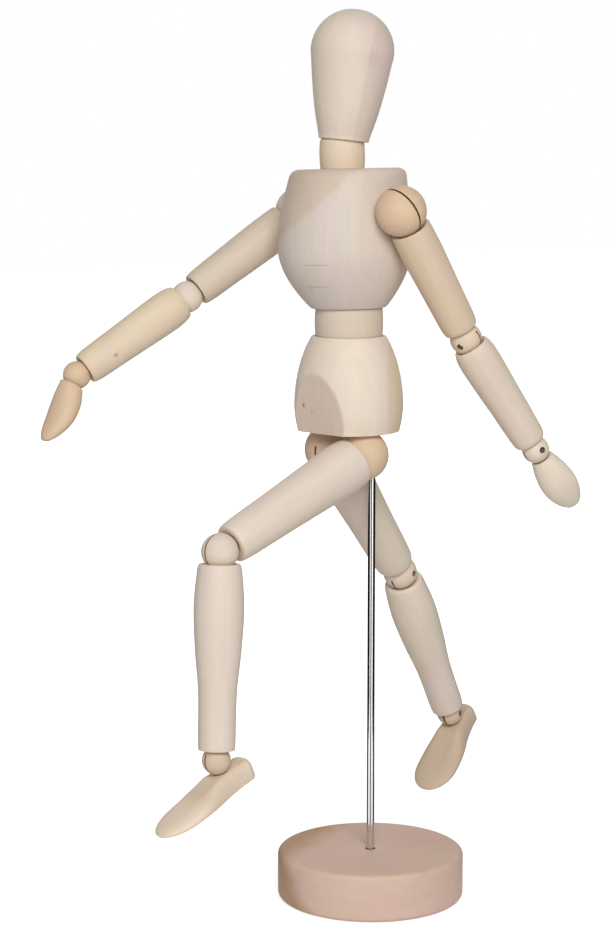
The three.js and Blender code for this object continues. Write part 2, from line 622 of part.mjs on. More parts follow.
// Chest, from its underside up, on the waist's axis
function chest() {
  const foot = barrelRim(WAIST_RADIUS, WAIST_HALF_GAP);
  const corner = CHEST_HEIGHT - CHEST_CORNER_ROUND;
  const stations = [];
  const addRing = (radius, height) => {
    const rise = height / CHEST_HEIGHT;
    const fullness = CHEST_FULLNESS * Math.sin(Math.PI * rise);
    stations.push([height, radius, radius + fullness, fullness - CHEST_TOP_BACK * rise ** 2]);
  };
  for (const share of CHEST_LOWER_RINGS) {
    const round = Math.sin((share * Math.PI) / 2) ** CHEST_LOWER_ROUNDNESS;
    addRing(between(foot, CHEST_RADIUS, round), share * CHEST_SWELL_HEIGHT);
  }
  for (const share of CHEST_UPPER_RINGS) {
    const radius = between(CHEST_RADIUS, CHEST_TOP_RADIUS, share ** CHEST_UPPER_ROUNDNESS);
    addRing(radius, between(CHEST_SWELL_HEIGHT, corner, share));
  }
  for (const angle of CORNER_ANGLES) {
    const inset = CHEST_CORNER_ROUND * (1 - Math.cos(degrees(angle)));
    addRing(CHEST_TOP_RADIUS - inset, corner + CHEST_CORNER_ROUND * Math.sin(degrees(angle)));
  }
  let body = loft(stations, BODY_SIDES);
  body = body.subtract(barrelCup(WAIST_RADIUS, WAIST_HALF_GAP).translate([0, 0, -WAIST_HALF_GAP]));
  const neckCup = barrelCup(NECK_RADIUS, NECK_HALF_GAP);
  body = body.subtract(neckCup.translate([0, -NECK_FORWARD, NECK_HEIGHT]));
  body = body.subtract(bar(BORE_RADIUS, 0, CHEST_PIN_HEIGHT + CHANNEL_RADIUS));
  const pinHole = bar(PIN_HOLE_RADIUS, -CHEST_RADIUS, CHEST_PIN_HALF_LENGTH + CLEARANCE);
  body = body.subtract(pinHole.rotate([0, 90, 0]).translate([0, 0, CHEST_PIN_HEIGHT]));
  const neckBore = bar(BORE_RADIUS, SHOULDER_HEIGHT, CHEST_HEIGHT);
  body = body.subtract(neckBore.translate([0, -NECK_FORWARD, 0]));
  const crossBore = bar(BORE_RADIUS, -SHOULDER_HALF_SPACING, SHOULDER_HALF_SPACING);
  body = body.subtract(crossBore.rotate([0, 90, 0]).translate([0, SHOULDER_BACK, SHOULDER_HEIGHT]));
  for (const side of [-1, 1]) {
    const shoulder = [side * SHOULDER_HALF_SPACING, SHOULDER_BACK, SHOULDER_HEIGHT];
    body = body.subtract(cup(SHOULDER_BALL_RADIUS).translate(shoulder));
  }
  return body;
}

// Spring across the chest, along Z here, with a straight middle for the neck spring's eye
// and a headed end in each shoulder ball
function shoulderSpring() {
  const headBottom = SHOULDER_HALF_SPACING - SWIVEL_HEAD_BOTTOM - SWIVEL_HEAD_HEIGHT;
  const coilIn = EYE_STRAIGHT;
  const coilOut = SHOULDER_HALF_SPACING - SHOULDER_BALL_RADIUS - COIL_END_GAP;
  const end = headBottom + SWIVEL_HEAD_HEIGHT / 2;
  const points = [
    point(0, 0, -end),
    point(0, 0, -coilOut - COIL_LEAD),
    ...coilPoints(-coilOut, -coilIn, SHOULDER_COIL_TURNS),
    point(0, 0, COIL_LEAD - coilIn),
    point(0, 0, 0),
    point(0, 0, coilIn - COIL_LEAD),
    ...coilPoints(coilIn, coilOut, SHOULDER_COIL_TURNS),
    point(0, 0, coilOut + COIL_LEAD),
    point(0, 0, end),
  ];
  const spring = wire(points, 2 * (SHOULDER_COIL_TURNS * STEPS_PER_TURN + END_STEPS));
  return spring.add(swivelHead(headBottom)).add(swivelHead(-headBottom - SWIVEL_HEAD_HEIGHT));
}

// Neck spring, from the neck's centre: an eye on the shoulder spring, a coil, and a tail let into the head
function neckSpring() {
  const eye = SHOULDER_HEIGHT - NECK_HEIGHT;
  const coilLow = eye + EYE_STRAIGHT;
  const coilHigh = NECK_HALF_GAP / 2;
  const lean = degrees(POSE.neck.swing);
  const tail = (reach) => point(0, -reach * Math.sin(lean), reach * Math.cos(lean));
  const offset = point(0, NECK_FORWARD + SHOULDER_BACK, 0);
  offset.applyAxisAngle(point(0, 0, 1), degrees(-POSE.neck.turn));
  const points = [
    point(offset.x, offset.y, eye + EYE_RADIUS),
    point(EYE_DRAW_IN * offset.x, EYE_DRAW_IN * offset.y, coilLow - COIL_LEAD),
    ...coilPoints(coilLow, coilHigh, COIL_TURNS),
    tail(coilHigh + COIL_LEAD),
    tail(HEAD_TAIL_DEPTH),
  ];
  const ring = wireRing().rotate([0, 0, -POSE.neck.turn]).translate([offset.x, offset.y, eye]);
  return wire(points, COIL_TURNS * STEPS_PER_TURN + END_STEPS).add(ring);
}

// Waist spring, from the waist's centre: an eye on the hip yoke's bridge, a coil, and an eye on the chest pin
function waistSpring() {
  const low = YOKE_HEIGHT - WAIST_HEIGHT;
  const high = CHEST_PIN_HEIGHT + WAIST_HALF_GAP;
  const coilLow = low + EYE_STRAIGHT;
  const coilHigh = high - EYE_STRAIGHT;
  const lean = degrees(POSE.waist.swing);
  const tail = (reach) => point(0, -reach * Math.sin(lean), reach * Math.cos(lean));
  const offset = point(0, -HIP_FORWARD, 0);
  offset.applyAxisAngle(point(0, 0, 1), degrees(-POSE.waist.turn));
  const points = [
    point(offset.x, offset.y, low + EYE_RADIUS),
    point(EYE_DRAW_IN * offset.x, EYE_DRAW_IN * offset.y, coilLow - COIL_LEAD),
    ...coilPoints(coilLow, coilHigh, COIL_TURNS),
    tail(coilHigh + COIL_LEAD),
    tail(high - EYE_RADIUS),
  ];
  const eye = wireRing().rotate([0, 0, -POSE.waist.turn]);
  const lowEye = eye.translate([offset.x, offset.y, low]);
  const highEye = eye.translate([0, 0, high]).rotate([POSE.waist.swing, 0, 0]);
  return wire(points, COIL_TURNS * STEPS_PER_TURN + END_STEPS).add(lowEye).add(highEye);
}

// Head, from the neck's centre
function head() {
  const bottom = NECK_HALF_GAP;
  const crown = bottom + HEAD_CROWN_HEIGHT;
  const profile = [
    [0, bottom],
    [HEAD_BOTTOM_RADIUS - HEAD_EDGE, bottom],
    [HEAD_BOTTOM_RADIUS, bottom + HEAD_EDGE],
  ];
  for (const share of HEAD_SIDE_RINGS) {
    const bulge = HEAD_BULGE * Math.sin(share * Math.PI);
    const radius = between(HEAD_BOTTOM_RADIUS, HEAD_CROWN_RADIUS, share) + bulge;
    profile.push([radius, between(bottom, crown, share)]);
  }
  for (let i = 0; i < CROWN_STEPS; i += 1) {
    const angle = (i * Math.PI) / (2 * CROWN_STEPS);
    profile.push([HEAD_CROWN_RADIUS * Math.cos(angle), crown + HEAD_CROWN_RADIUS * Math.sin(angle)]);
  }
  profile.push([0, crown + HEAD_CROWN_RADIUS]);
  const neck = Math.hypot(NECK_RADIUS, NECK_HALF_GAP);
  const mouth = bar(BORE_RADIUS, 0, neck + COIL_LEAD);
  const tailHole = bar(2 * SWIVEL_HOLE_RADIUS, 0, HEAD_TAIL_DEPTH + CLEARANCE);
  const body = turned(profile, BODY_SIDES).subtract(barrelCup(NECK_RADIUS, NECK_HALF_GAP));
  return body.subtract(mouth).subtract(tailHole);
}

function base() {
  const round = BASE_EDGE_ROUND;
  const inner = BASE_RADIUS - round;
  const profile = [[0, 0]];
  for (const angle of EDGE_ANGLES) {
    profile.push([inner + round * Math.sin(degrees(angle)), round - round * Math.cos(degrees(angle))]);
  }
  for (const angle of EDGE_ANGLES) {
    const height = BASE_HEIGHT - round + round * Math.sin(degrees(angle));
    profile.push([inner + round * Math.cos(degrees(angle)), height]);
  }
  profile.push([0, BASE_HEIGHT]);
  const holeRadius = ROD_RADIUS + ROD_BASE_HOLE_GAP;
  const holeFloor = BASE_HEIGHT - ROD_BASE_DEPTH - CLEARANCE;
  return turned(profile, BASE_SIDES).subtract(bar(holeRadius, holeFloor, BASE_HEIGHT + OVERRUN, LIMB_SIDES));
}

function supportRod() {
  return bar(ROD_RADIUS, BASE_HEIGHT - ROD_BASE_DEPTH, PELVIS_BOTTOM + ROD_PELVIS_DEPTH, LIMB_SIDES);
}

// Assembly: named meshes in nested groups, one group for each thing that turns

function addMesh(parent, name, shape, finish) {
  const { vertProperties, triVerts } = shape.getMesh();
  const geometry = new THREE.BufferGeometry();
  geometry.setAttribute('position', new THREE.BufferAttribute(vertProperties, 3));
  geometry.setIndex(new THREE.BufferAttribute(triVerts, 1));
  geometry.computeVertexNormals();
  const mesh = new THREE.Mesh(geometry, new THREE.MeshStandardMaterial(finish));
  mesh.name = name;
  parent.add(mesh);
}

function addGroup(parent, position) {
  const group = new THREE.Group();
  group.position.copy(position);
  parent.add(group);
  return group;
}

// Adds a ball and its pin, turned about its parent's axis, and returns the group that swings about the pin
function addBall(parent, name, radius, pose, finish) {
  const turning = addGroup(parent, point(0, 0, 0));
  turning.rotation.z = degrees(pose.turn);
  addMesh(turning, `${name}_ball`, limbBall(radius, pose.pinFrom), finish);
  addMesh(turning, `${name}_pin`, crossPin(radius - PIN_RECESS), STEEL);
  const swinging = addGroup(turning, point(0, 0, 0));
  swinging.rotation.x = degrees(pose.swing);
  return swinging;
}

function addArm(chestGroup, side) {
  const outward = side === 'left' ? 1 : -1;
  const shoulder = point(outward * SHOULDER_HALF_SPACING, SHOULDER_BACK, SHOULDER_HEIGHT);
  const socket = addGroup(chestGroup, shoulder);
  socket.rotation.y = -outward * Math.PI / 2;
  const upper = addBall(socket, `${side}_shoulder`, SHOULDER_BALL_RADIUS, POSE[`${side}Shoulder`], TAN_WOOD);
  const upperSpring = limbSpring(UPPER_ARM_LENGTH, SHOULDER_BALL_RADIUS, ELBOW_BALL_RADIUS);
  addMesh(upper, `${side}_upper_arm`, upperArm(), WOOD);
  addMesh(upper, `${side}_upper_arm_spring`, upperSpring, STEEL);
  const elbow = addGroup(upper, point(0, 0, -UPPER_ARM_LENGTH));
  const lower = addBall(elbow, `${side}_elbow`, ELBOW_BALL_RADIUS, POSE[`${side}Elbow`], WOOD);
  const lowerSpring = limbSpring(FOREARM_LENGTH, ELBOW_BALL_RADIUS, WRIST_BALL_RADIUS);
  addMesh(lower, `${side}_forearm`, forearm(), WOOD);
  addMesh(lower, `${side}_forearm_spring`, lowerSpring, STEEL);
  const wrist = addGroup(lower, point(0, 0, -FOREARM_LENGTH));
  const end = addBall(wrist, `${side}_wrist`, WRIST_BALL_RADIUS, POSE[`${side}Wrist`], TAN_WOOD);
  const rolled = addGroup(end, point(0, 0, 0));
  rolled.rotation.z = degrees(POSE[`${side}Wrist`].roll);
  addMesh(rolled, `${side}_hand`, hand(), TAN_WOOD);
  addMesh(end, `${side}_hand_eye`, screwEye(HAND_EYE_REACH), STEEL);
}

function addLeg(pelvisGroup, side) {
  const outward = side === 'left' ? 1 : -1;
  const hip = addGroup(pelvisGroup, point(outward * HIP_HALF_SPACING, -HIP_FORWARD, -HIP_DROP));
  const upper = addBall(hip, `${side}_hip`, HIP_BALL_RADIUS, POSE[`${side}Hip`], TAN_WOOD);
  const upperSpring = limbSpring(THIGH_LENGTH, HIP_BALL_RADIUS, KNEE_BALL_RADIUS);
  addMesh(upper, `${side}_thigh`, thigh(), WOOD);
  addMesh(upper, `${side}_thigh_spring`, upperSpring, STEEL);
  const knee = addGroup(upper, point(0, 0, -THIGH_LENGTH));
  const lower = addBall(knee, `${side}_knee`, KNEE_BALL_RADIUS, POSE[`${side}Knee`], WOOD);
  const lowerSpring = limbSpring(SHIN_LENGTH, KNEE_BALL_RADIUS, ANKLE_BALL_RADIUS);
  addMesh(lower, `${side}_shin`, shin(), WOOD);
  addMesh(lower, `${side}_shin_spring`, lowerSpring, STEEL);
  const ankle = addGroup(lower, point(0, 0, -SHIN_LENGTH));
  const end = addBall(ankle, `${side}_ankle`, ANKLE_BALL_RADIUS, POSE[`${side}Ankle`], WOOD);
  addMesh(end, `${side}_foot`, foot(), TAN_WOOD);
  addMesh(end, `${side}_foot_eye`, screwEye(FOOT_EYE_REACH), STEEL);
}

const mannequin = new THREE.Group();
addMesh(mannequin, 'base', base(), WOOD);
addMesh(mannequin, 'support_rod', supportRod(), STEEL);

const pelvisGroup = addGroup(mannequin, point(0, -ROD_BACK, PELVIS_BOTTOM));
addMesh(pelvisGroup, 'pelvis', pelvis(), WOOD);
addMesh(addGroup(pelvisGroup, point(0, -HIP_FORWARD, 0)), 'hip_yoke', hipYoke(), STEEL);
addLeg(pelvisGroup, 'left');
addLeg(pelvisGroup, 'right');

const waistGroup = addGroup(pelvisGroup, point(0, 0, WAIST_HEIGHT));
waistGroup.rotation.z = degrees(POSE.waist.turn);
addMesh(waistGroup, 'waist_barrel', barrel(WAIST_RADIUS, WAIST_HALF_GAP), WOOD);
addMesh(waistGroup, 'waist_spring', waistSpring(), STEEL);

const bendGroup = addGroup(waistGroup, point(0, 0, 0));
bendGroup.rotation.x = degrees(POSE.waist.swing);
const chestGroup = addGroup(bendGroup, point(0, 0, WAIST_HALF_GAP));
chestGroup.rotation.z = degrees(-POSE.waist.turn); // the barrel turns under the chest to lean it sideways
addMesh(chestGroup, 'chest', chest(), WOOD);
const chestPinGroup = addGroup(chestGroup, point(0, 0, CHEST_PIN_HEIGHT));
addMesh(chestPinGroup, 'chest_pin', crossPin(CHEST_PIN_HALF_LENGTH), STEEL);
const springGroup = addGroup(chestGroup, point(0, SHOULDER_BACK, SHOULDER_HEIGHT));
springGroup.rotation.y = Math.PI / 2;
addMesh(springGroup, 'shoulder_spring', shoulderSpring(), STEEL);
addArm(chestGroup, 'left');
addArm(chestGroup, 'right');

const neckGroup = addGroup(chestGroup, point(0, -NECK_FORWARD, NECK_HEIGHT));
neckGroup.rotation.z = degrees(POSE.neck.turn);
addMesh(neckGroup, 'neck_barrel', barrel(NECK_RADIUS, NECK_HALF_GAP), WOOD);
addMesh(neckGroup, 'neck_spring', neckSpring(), STEEL);
const headGroup = addGroup(neckGroup, point(0, 0, 0));
headGroup.rotation.x = degrees(POSE.neck.swing);
addMesh(headGroup, 'head', head(), WOOD);

export default mannequin;
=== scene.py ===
"""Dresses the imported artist's figure: turned and sawn wood, bright steel and a white studio stage.

Each piece is worked out in its own frame, in millimetres, with its grain along the local Z axis.
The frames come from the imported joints, so every piece lies where the solid that it stands for lies.
"""
import json
import math

import bpy
import numpy as np
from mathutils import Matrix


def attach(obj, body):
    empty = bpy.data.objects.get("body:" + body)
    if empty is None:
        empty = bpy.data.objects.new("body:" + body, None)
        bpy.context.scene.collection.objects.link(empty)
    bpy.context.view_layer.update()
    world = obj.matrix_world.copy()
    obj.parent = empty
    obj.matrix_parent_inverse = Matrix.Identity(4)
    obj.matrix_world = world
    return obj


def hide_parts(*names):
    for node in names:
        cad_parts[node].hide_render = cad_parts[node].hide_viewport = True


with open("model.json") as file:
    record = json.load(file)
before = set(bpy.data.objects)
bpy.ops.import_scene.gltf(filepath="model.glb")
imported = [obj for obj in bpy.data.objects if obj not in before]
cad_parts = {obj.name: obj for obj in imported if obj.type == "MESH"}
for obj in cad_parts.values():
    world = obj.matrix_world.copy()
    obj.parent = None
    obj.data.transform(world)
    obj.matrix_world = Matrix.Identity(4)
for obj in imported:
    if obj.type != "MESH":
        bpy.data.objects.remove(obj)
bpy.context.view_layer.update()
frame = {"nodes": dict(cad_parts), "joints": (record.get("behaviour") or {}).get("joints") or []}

bl_info = {
    "name": "Wooden artist mannequin",
    "version": (1, 0, 0),
    "blender": (4, 5, 0),
    "location": "View3D > Sidebar > Mannequin",
    "description": "Builds the turned wood, the wires and the studio round the packed figure",
    "category": "Add Mesh",
}

MM = 0.001
SIDES = ("left", "right")

# Fits, in millimetres; shares are of the mouth's circle and of the rim's rounding
RIM_LIP = 0.5
MOUTH_LIP = 0.55
MOUTH_SHARE = 0.9
MOUTH_ROUND_SHARE = 0.4
FLARE = 1.0
CUP_SLACK = 1 / math.cos(math.pi / 12) ** 2
CUP_ROUND = 0.15
BORE_RADIUS = 2.55
BORE_MARGIN = 0.2
SLIT_TOP = 2.0
SLIT_CORE = 1.9

# Stand
ROD_BASE_DEPTH = 12.0
ROD_HOLE_GAP = 0.5
ROD_EXPOSED = 148.1
ROD_PELVIS_DEPTH = 13.0
ROD_CHAMFER = 0.25
ROD_CHAMFER_SHARE = 0.8
ROD_FLOOR_GAP = 0.1
HOLE_EDGE = 0.2
HOLE_MARGIN = 0.05
BASE_GRAIN_TURN = 32.0

# Trunk
PELVIS_HEIGHT = 32.2
PELVIS_BOTTOM_RADIUS = 17.3
PELVIS_BELLY_RADIUS = 18.4
PELVIS_BELLY_HEIGHT = 8.5
PELVIS_TOP_RADIUS = 12.5
PELVIS_EDGE = 0.6
PELVIS_RIM_ROUND = 0.4
BEVEL_TOP_HEIGHT = 20.4
BEVEL_TOP_REACH = 17.2
BEVEL_BOTTOM_REACH = 13.8
BEVEL_TURN = 10.0
BEVEL_EASE = 0.25
HIP_HALF_SPACING = 9.2
HIP_FORWARD = 1.0
HIP_DROP = 7.3
WAIST_RADIUS = 11.3
WAIST_HALF_GAP = 4.65
NECK_RADIUS = 7.35
NECK_HALF_GAP = 4.7
BARREL_BULGE = 0.25
CHEST_HEIGHT = 46.4
CHEST_FOOT_RADIUS = 12.5
CHEST_RADIUS = 21.6
CHEST_FULLNESS = 1.3
CHEST_SWELL_HEIGHT = 20.0
CHEST_TOP_RADIUS = 19.6
CHEST_TOP_BACK = 1.0
CHEST_CORNER_ROUND = 3.0
CHEST_FOOT_ROUND = 0.3
CHEST_RISE_POWER = 0.9
CHEST_EASE_POWER = 1.6
SHOULDER_HALF_SPACING = 27.9
SHOULDER_HEIGHT = 32.2
SHOULDER_BACK = 0.9
SHOULDER_EASE = 0.3
NECK_FORWARD = 1.5
HEAD_BOTTOM_RADIUS = 8.5
HEAD_EDGE = 1.1
HEAD_BULGE = 0.5
HEAD_CROWN_RADIUS = 13.9
HEAD_CROWN_HEIGHT = 29.4
HEAD_SIDE_SHARES = (HEAD_EDGE / HEAD_CROWN_HEIGHT, 0.3, 0.6, 0.85)
HEAD_NOD = -6.8

# Limb balls: their radii, and the side along its own X that each ball's pin hole is open on
BALL_RADII = {"shoulder": 8.4, "elbow": 5.4, "wrist": 4.7, "hip": 8.7, "knee": 6.1, "ankle": 4.7}
PIN_FROM = {
    "left": {"shoulder": 1, "elbow": -1, "wrist": -1, "hip": -1, "knee": -1, "ankle": -1},
    "right": {"shoulder": 1, "elbow": -1, "wrist": -1, "hip": 1, "knee": 1, "ankle": 1},
}

# Limbs: upper and lower joint, length, distance of the widest circle and its radius, and how far the two
# rims lie from the balls' centres as shares of the balls' radii
LIMBS = {
    "upper_arm": ("shoulder", "elbow", 50.0, 18.0, 6.9, 0.83, 0.74),
    "forearm": ("elbow", "wrist", 46.5, 11.0, 6.9, 0.54, 0.72),
    "thigh": ("hip", "knee", 66.0, 14.0, 8.8, 0.62, 0.80),
    "shin": ("knee", "ankle", 67.5, 18.0, 8.2, 0.64, 0.85),
}
ROUND_LENGTH = 2.5
ROUND_SHARE = 0.75
TAPER_MIDDLE_SHARE = 0.66
TAPER_END_LENGTH = 3.0
TAPER_END_SHARE = 0.4
SHIN_ROUND_SHARE = 0.45
SHIN_CALF = 0.3
SHIN_EDGE = 0.5
SHIN_NARROW_RADIUS = 6.3
SHIN_NARROW_ABOVE_ANKLE = 22.0

# Hand and foot; the hand's outline holds shares of its length, half width and half thickness
HAND_RIM_SHARE = 0.85
HAND_LENGTH = 25.5
HAND_HALF_WIDTH = 6.2
HAND_HALF_THICKNESS = 4.6
HAND_CURL = 1.6
HAND_SWING = {"left": -2.9, "right": 27.5}
HAND_ROLL = {"left": 62.0, "right": 35.0}
HAND_OUTLINE = (
    (0.2, 0.88, 1.0), (0.42, 1.0, 0.95), (0.62, 0.95, 0.8), (0.82, 0.72, 0.56), (0.95, 0.4, 0.3))
HAND_TIP_LENGTH = 0.45
HAND_TIP_SHARES = (0.22, 0.17)
HAND_TIP_BOW = 0.12
FOOT_HEEL_REACH = 10.4
FOOT_HEEL_HALF_WIDTH = 5.0
FOOT_HEEL_ROUND = 3.2
FOOT_HEEL_EDGE = 1.6
FOOT_TOE_REACH = 29.5
FOOT_TOE_HALF_WIDTH = 8.2
FOOT_TOE_SWELL = 19.0
FOOT_THICKNESS = 6.8
FOOT_INSTEP_REACH = 12.5
FOOT_INSTEP_THICKNESS = 4.3
FOOT_TOE_THICKNESS = 2.0
FOOT_SOLE_DROP = 11.2
FOOT_ANKLE_DOME = 2.6
FOOT_TOE_DOME = 5.6
FOOT_DOME_DROP = 0.72
FOOT_HEEL_DROP = 0.3
FOOT_LOWER_ROUND = 1.0
FOOT_WALL_SHARES = (0.33, 0.67)
FOOT_SOLE_SHARE = 0.02
FOOT_SWING = {"left": 26.0, "right": 3.0}

# Tints beyond a plane, in a piece's own frame: a plane's direction and reach, the softness and the wander
# of its edge, and the tint beyond it. Those of the head, the chest and the pelvis's second are hearts of
# the wood; the base's is painted shade, darker towards its lower left side; the pelvis's first is painted
# shade on its flat front facet; and the left foot's lightens it towards the toe
HEART_AND_SHADE_TINTS = {
    "head": [((0.02, 0.995, -0.101), 1.97, 0.8, 0.8, (0.93, 0.905, 0.92))],
    "chest": [((-0.425, -0.491, 0.76), 30.6, 3.0, 3.0, (0.93, 0.87, 0.785)),
              ((0.594, 0.804, 0.0), -2.0, 6.0, 3.0, (1.0, 0.99, 0.95))],
    # The pelvis's first tint is painted shade, a darker, browner tone held to its flat front facet
    "pelvis": [((0.171, -0.971, -0.164), 13.3, 0.15, 0.0, (0.93, 0.885, 0.87)),
               ((0.594, 0.804, 0.0), 12.6, 0.8, 1.0, (0.98, 0.925, 0.83))],
    # The base's tint is painted shade, darker towards its lower left side
    "base": [((-0.6, -0.06, -0.8), 3.0, 9.0, 5.0, (0.72, 0.64, 0.48))],
    # The left foot's tint lightens it towards the toe
    "left_foot": [((0.0, 0.0, -1.0), 10.0, 7.0, 3.0, (1.16, 1.17, 1.18))],
}

# Knots and scratches, in a piece's own frame: centre, half size and strength
MARKS = {
    "chest": [((9.3, -20.8, 15.1), (7.5, 5.5, 0.3), 0.3), ((6.2, -18.2, 7.9), (7.5, 4.5, 0.35), 0.3),
              ((4.4, -19.2, 7.0), (2.5, 2.0, 0.5), 0.2)],
    "pelvis": [((-3.7, -16.2, 9.4), (0.75, 0.75, 1.1), 0.75), ((-0.2, -15.3, 7.6), (0.5, 0.5, 0.8), 0.4)],
    "right_forearm": [((5.7, 2.2, -32.9), (0.8, 0.8, 1.2), 0.5)],
    "head": [((11.6, 7.1, 31.5), (3.0, 3.0, 3.5), 0.1)],
}

# Number of each piece's cut of the log, which sets its grain; balls, limbs, hands and feet count on
LOG_CUTS = {"base": 3, "pelvis": 5, "chest": 13, "waist": 8, "neck": 17, "head": 21}
FIRST_BALL_CUT = 31
FIRST_LIMB_CUT = 51
FIRST_HAND_CUT = 70
FIRST_FOOT_CUT = 79

# Grain: what sets one piece's cut of the log off from the next, the pith's distance in millimetres and its
# turn from piece to piece in radians, the late wood's tint, and strength and depth in metres of the bumps
GRAIN_SHIFT = np.array([37.0, 11.0, 53.0])
PITH_DISTANCE = 30.0
PITH_TURN = 2.4
LATE_WOOD_TINT = (0.84, 0.78, 0.70)
WOOD_SPECULAR = 0.32
WOOD_BUMP = (0.35, 0.00008)
STEEL_BUMP = (0.15, 0.00002)
STEEL_LINES = (4000.0, 4000.0, 90.0)
STEEL_CLOUD = (160.0, 160.0, 45.0)
STEEL_DULL_SHARE = 0.8

# Fineness of the surfaces: points round each kind of piece, the turn in degrees above which an edge stays
# crisp, and how near the axis, in millimetres or as a share, a surface stops and is closed on one point
LIMB_SIDES = 96
BALL_SIDES = 120
TRUNK_SIDES = 240
BARREL_SIDES = 120
BASE_SIDES = 192
ROD_SIDES = 64
SPLINE_STEPS = 14
SMOOTH_ANGLE = 40.0
AXIS_HOLE = 0.5
UNDER_HOLE = 0.4
CUP_FLOOR = 0.3
POINT = 0.02
HOLE_CENTRE_SHARE = 0.4
ROD_CENTRE_SHARE = 0.3
POLE_SHARE = 0.98

# Limits that keep a formula in range: a height that counts as level, the least share of a direction that
# faces a plane, and a distance in millimetres beyond every piece
LEVEL = 0.01
LEAST_FACING = 1e-3
FAR_OUT = 1000.0

# Camera, in metres and degrees
CAMERA_PLACE = (0.64735, -0.50577, 0.2717)
CAMERA_TILT = 81.62
CAMERA_HEADING = 53.52
FOCAL_PIXELS = 2429.7
IMAGE_HEIGHT = 936
SENSOR_HEIGHT = 24.0
VIEW_AZIMUTH = 52.0

# Dark cards round the stand that only gloss sees, tall ones far off and low ones nearer: start and end in
# degrees from the camera's side, distance and height in metres
FLAGS = ((-176, -50, 0.22, 0.16), (-20, 12, 0.22, 0.16), (45, 176, 0.22, 0.16),
         (-176, -80, 0.06, 0.044), (-18, 10, 0.06, 0.044), (74, 176, 0.06, 0.044))
FLAG_STEPS = 24
FLAG_COLOUR = (0.02, 0.02, 0.02, 1.0)

# Lamps: degrees round from the camera's side, degrees up, distance and size in metres
LAMPS = {"key": (6, 30, 1.3, 0.7), "fill": (-60, 10, 1.3, 1.0), "back": (180, 15, 1.3, 1.2)}
LAMP_TARGET = (0, 0, 0.16)

# Floor: half its width in metres, its roughness, its glow near the stand, how much the glow rises further
# off, and the distances in metres between which it rises
FLOOR_HALF = 3.0
FLOOR_ROUGHNESS = 0.9
FLOOR_NEAR_GLOW = 0.62
FLOOR_GLOW_RISE = 0.38
FLOOR_GLOW_FROM = 0.06
FLOOR_GLOW_TO = 0.3
WHITE = (1.0, 1.0, 1.0, 1.0)

# Woods of the pieces that differ from the pale wood, as named in the finish settings
WOODS = {
    "base": "rose", "head": "cream", "chest": "blush", "neck": "straw", "waist": "oat",
    "left_shoulder_ball": "tan", "right_shoulder_ball": "linen",
    "left_hip_ball": "tan", "right_hip_ball": "tan",
    "left_elbow_ball": "straw", "right_wrist_ball": "tan",
    "left_ankle_ball": "honey", "right_ankle_ball": "honey",
    "left_upper_arm": "honey", "right_upper_arm": "oat",
    "left_forearm": "linen", "right_forearm": "straw",
    "right_hand": "tan", "left_foot": "straw", "right_foot": "drab",
}

JOINTS = {joint["name"]: joint for joint in frame["joints"]}


def length_setting(name, description, default):
    """Property for a size in metres."""
    return bpy.props.FloatProperty(name=name, description=description, default=default, unit="LENGTH")


def power_setting(name, description, default):
    """Property for a lamp's power in watts."""
    return bpy.props.FloatProperty(name=name, description=description, default=default, unit="POWER")


def colour_setting(name, description, default):
    """Property for a colour, as linear red, green and blue."""
    return bpy.props.FloatVectorProperty(
        name=name, description=description, default=default, subtype="COLOR")


class MannequinSizes(bpy.types.PropertyGroup):
    """Sizes of the details that the eye picks out on the figure."""

    base_radius: length_setting("Base radius", "Radius of the round base", 0.0323)
    base_height: length_setting("Base height", "Height of the round base", 0.0164)
    base_round: length_setting("Base edge", "Rounding of the base's edges", 0.0018)
    rod_radius: length_setting("Rod radius", "Radius of the steel rod", 0.0013)
    rim_round: length_setting("Rim rounding", "Rounding of a turned piece's rim", 0.0004)
    cup_gap: length_setting("Cup gap", "Running gap between a ball and its cup", 0.0003)
    slit_width: length_setting("Slit width", "Width of the saw cut in a ball", 0.00058)
    pin_hole_radius: length_setting("Pin hole radius", "Radius of a cross pin's hole", 0.0011)
    pin_hole_depth: length_setting("Pin hole depth", "Depth of a cross pin's open hole", 0.0016)


class MannequinFinish(bpy.types.PropertyGroup):
    """Colours of the woods and the steel, and the scale of the grain."""

    pale: colour_setting("Pale wood", "Pelvis, legs and the rest", (0.80, 0.70, 0.605))
    cream: colour_setting("Cream wood", "Head", (0.745, 0.645, 0.565))
    drab: colour_setting("Drab wood", "Right foot", (0.645, 0.515, 0.385))
    linen: colour_setting("Linen wood", "Left forearm, right shoulder ball", (0.76, 0.65, 0.54))
    oat: colour_setting("Oat wood", "Waist, right upper arm", (0.68, 0.58, 0.475))
    blush: colour_setting("Blush wood", "Chest", (0.69, 0.61, 0.565))
    straw: colour_setting(
        "Straw wood", "Neck, left elbow ball, right forearm, left foot", (0.775, 0.65, 0.50))
    honey: colour_setting("Honey wood", "Left upper arm, ankle balls", (0.73, 0.58, 0.44))
    tan: colour_setting(
        "Tan wood", "Left shoulder, hip and right wrist balls, right hand", (0.735, 0.55, 0.39))
    rose: colour_setting("Rose wood", "Base", (0.75, 0.555, 0.47))
    # The saw cut colour is both the darker tone of raw sawn wood and painted shade inside the narrow slits,
    # bores and holes
    saw_cut_and_shade: colour_setting("Saw cut", "Inside slits and holes", (0.22, 0.11, 0.05))
    knot: colour_setting("Knot", "Knots and scratches", (0.24, 0.14, 0.10))
    steel: colour_setting("Steel", "Rod, pins and wires", (0.74, 0.73, 0.72))
    ring_spacing: bpy.props.FloatProperty(
        name="Ring spacing", description="Distance between growth rings in millimetres", default=3.6)
    figure: bpy.props.FloatProperty(
        name="Figure", description="Contrast of the grain", default=0.5, subtype="FACTOR", min=0, max=1)


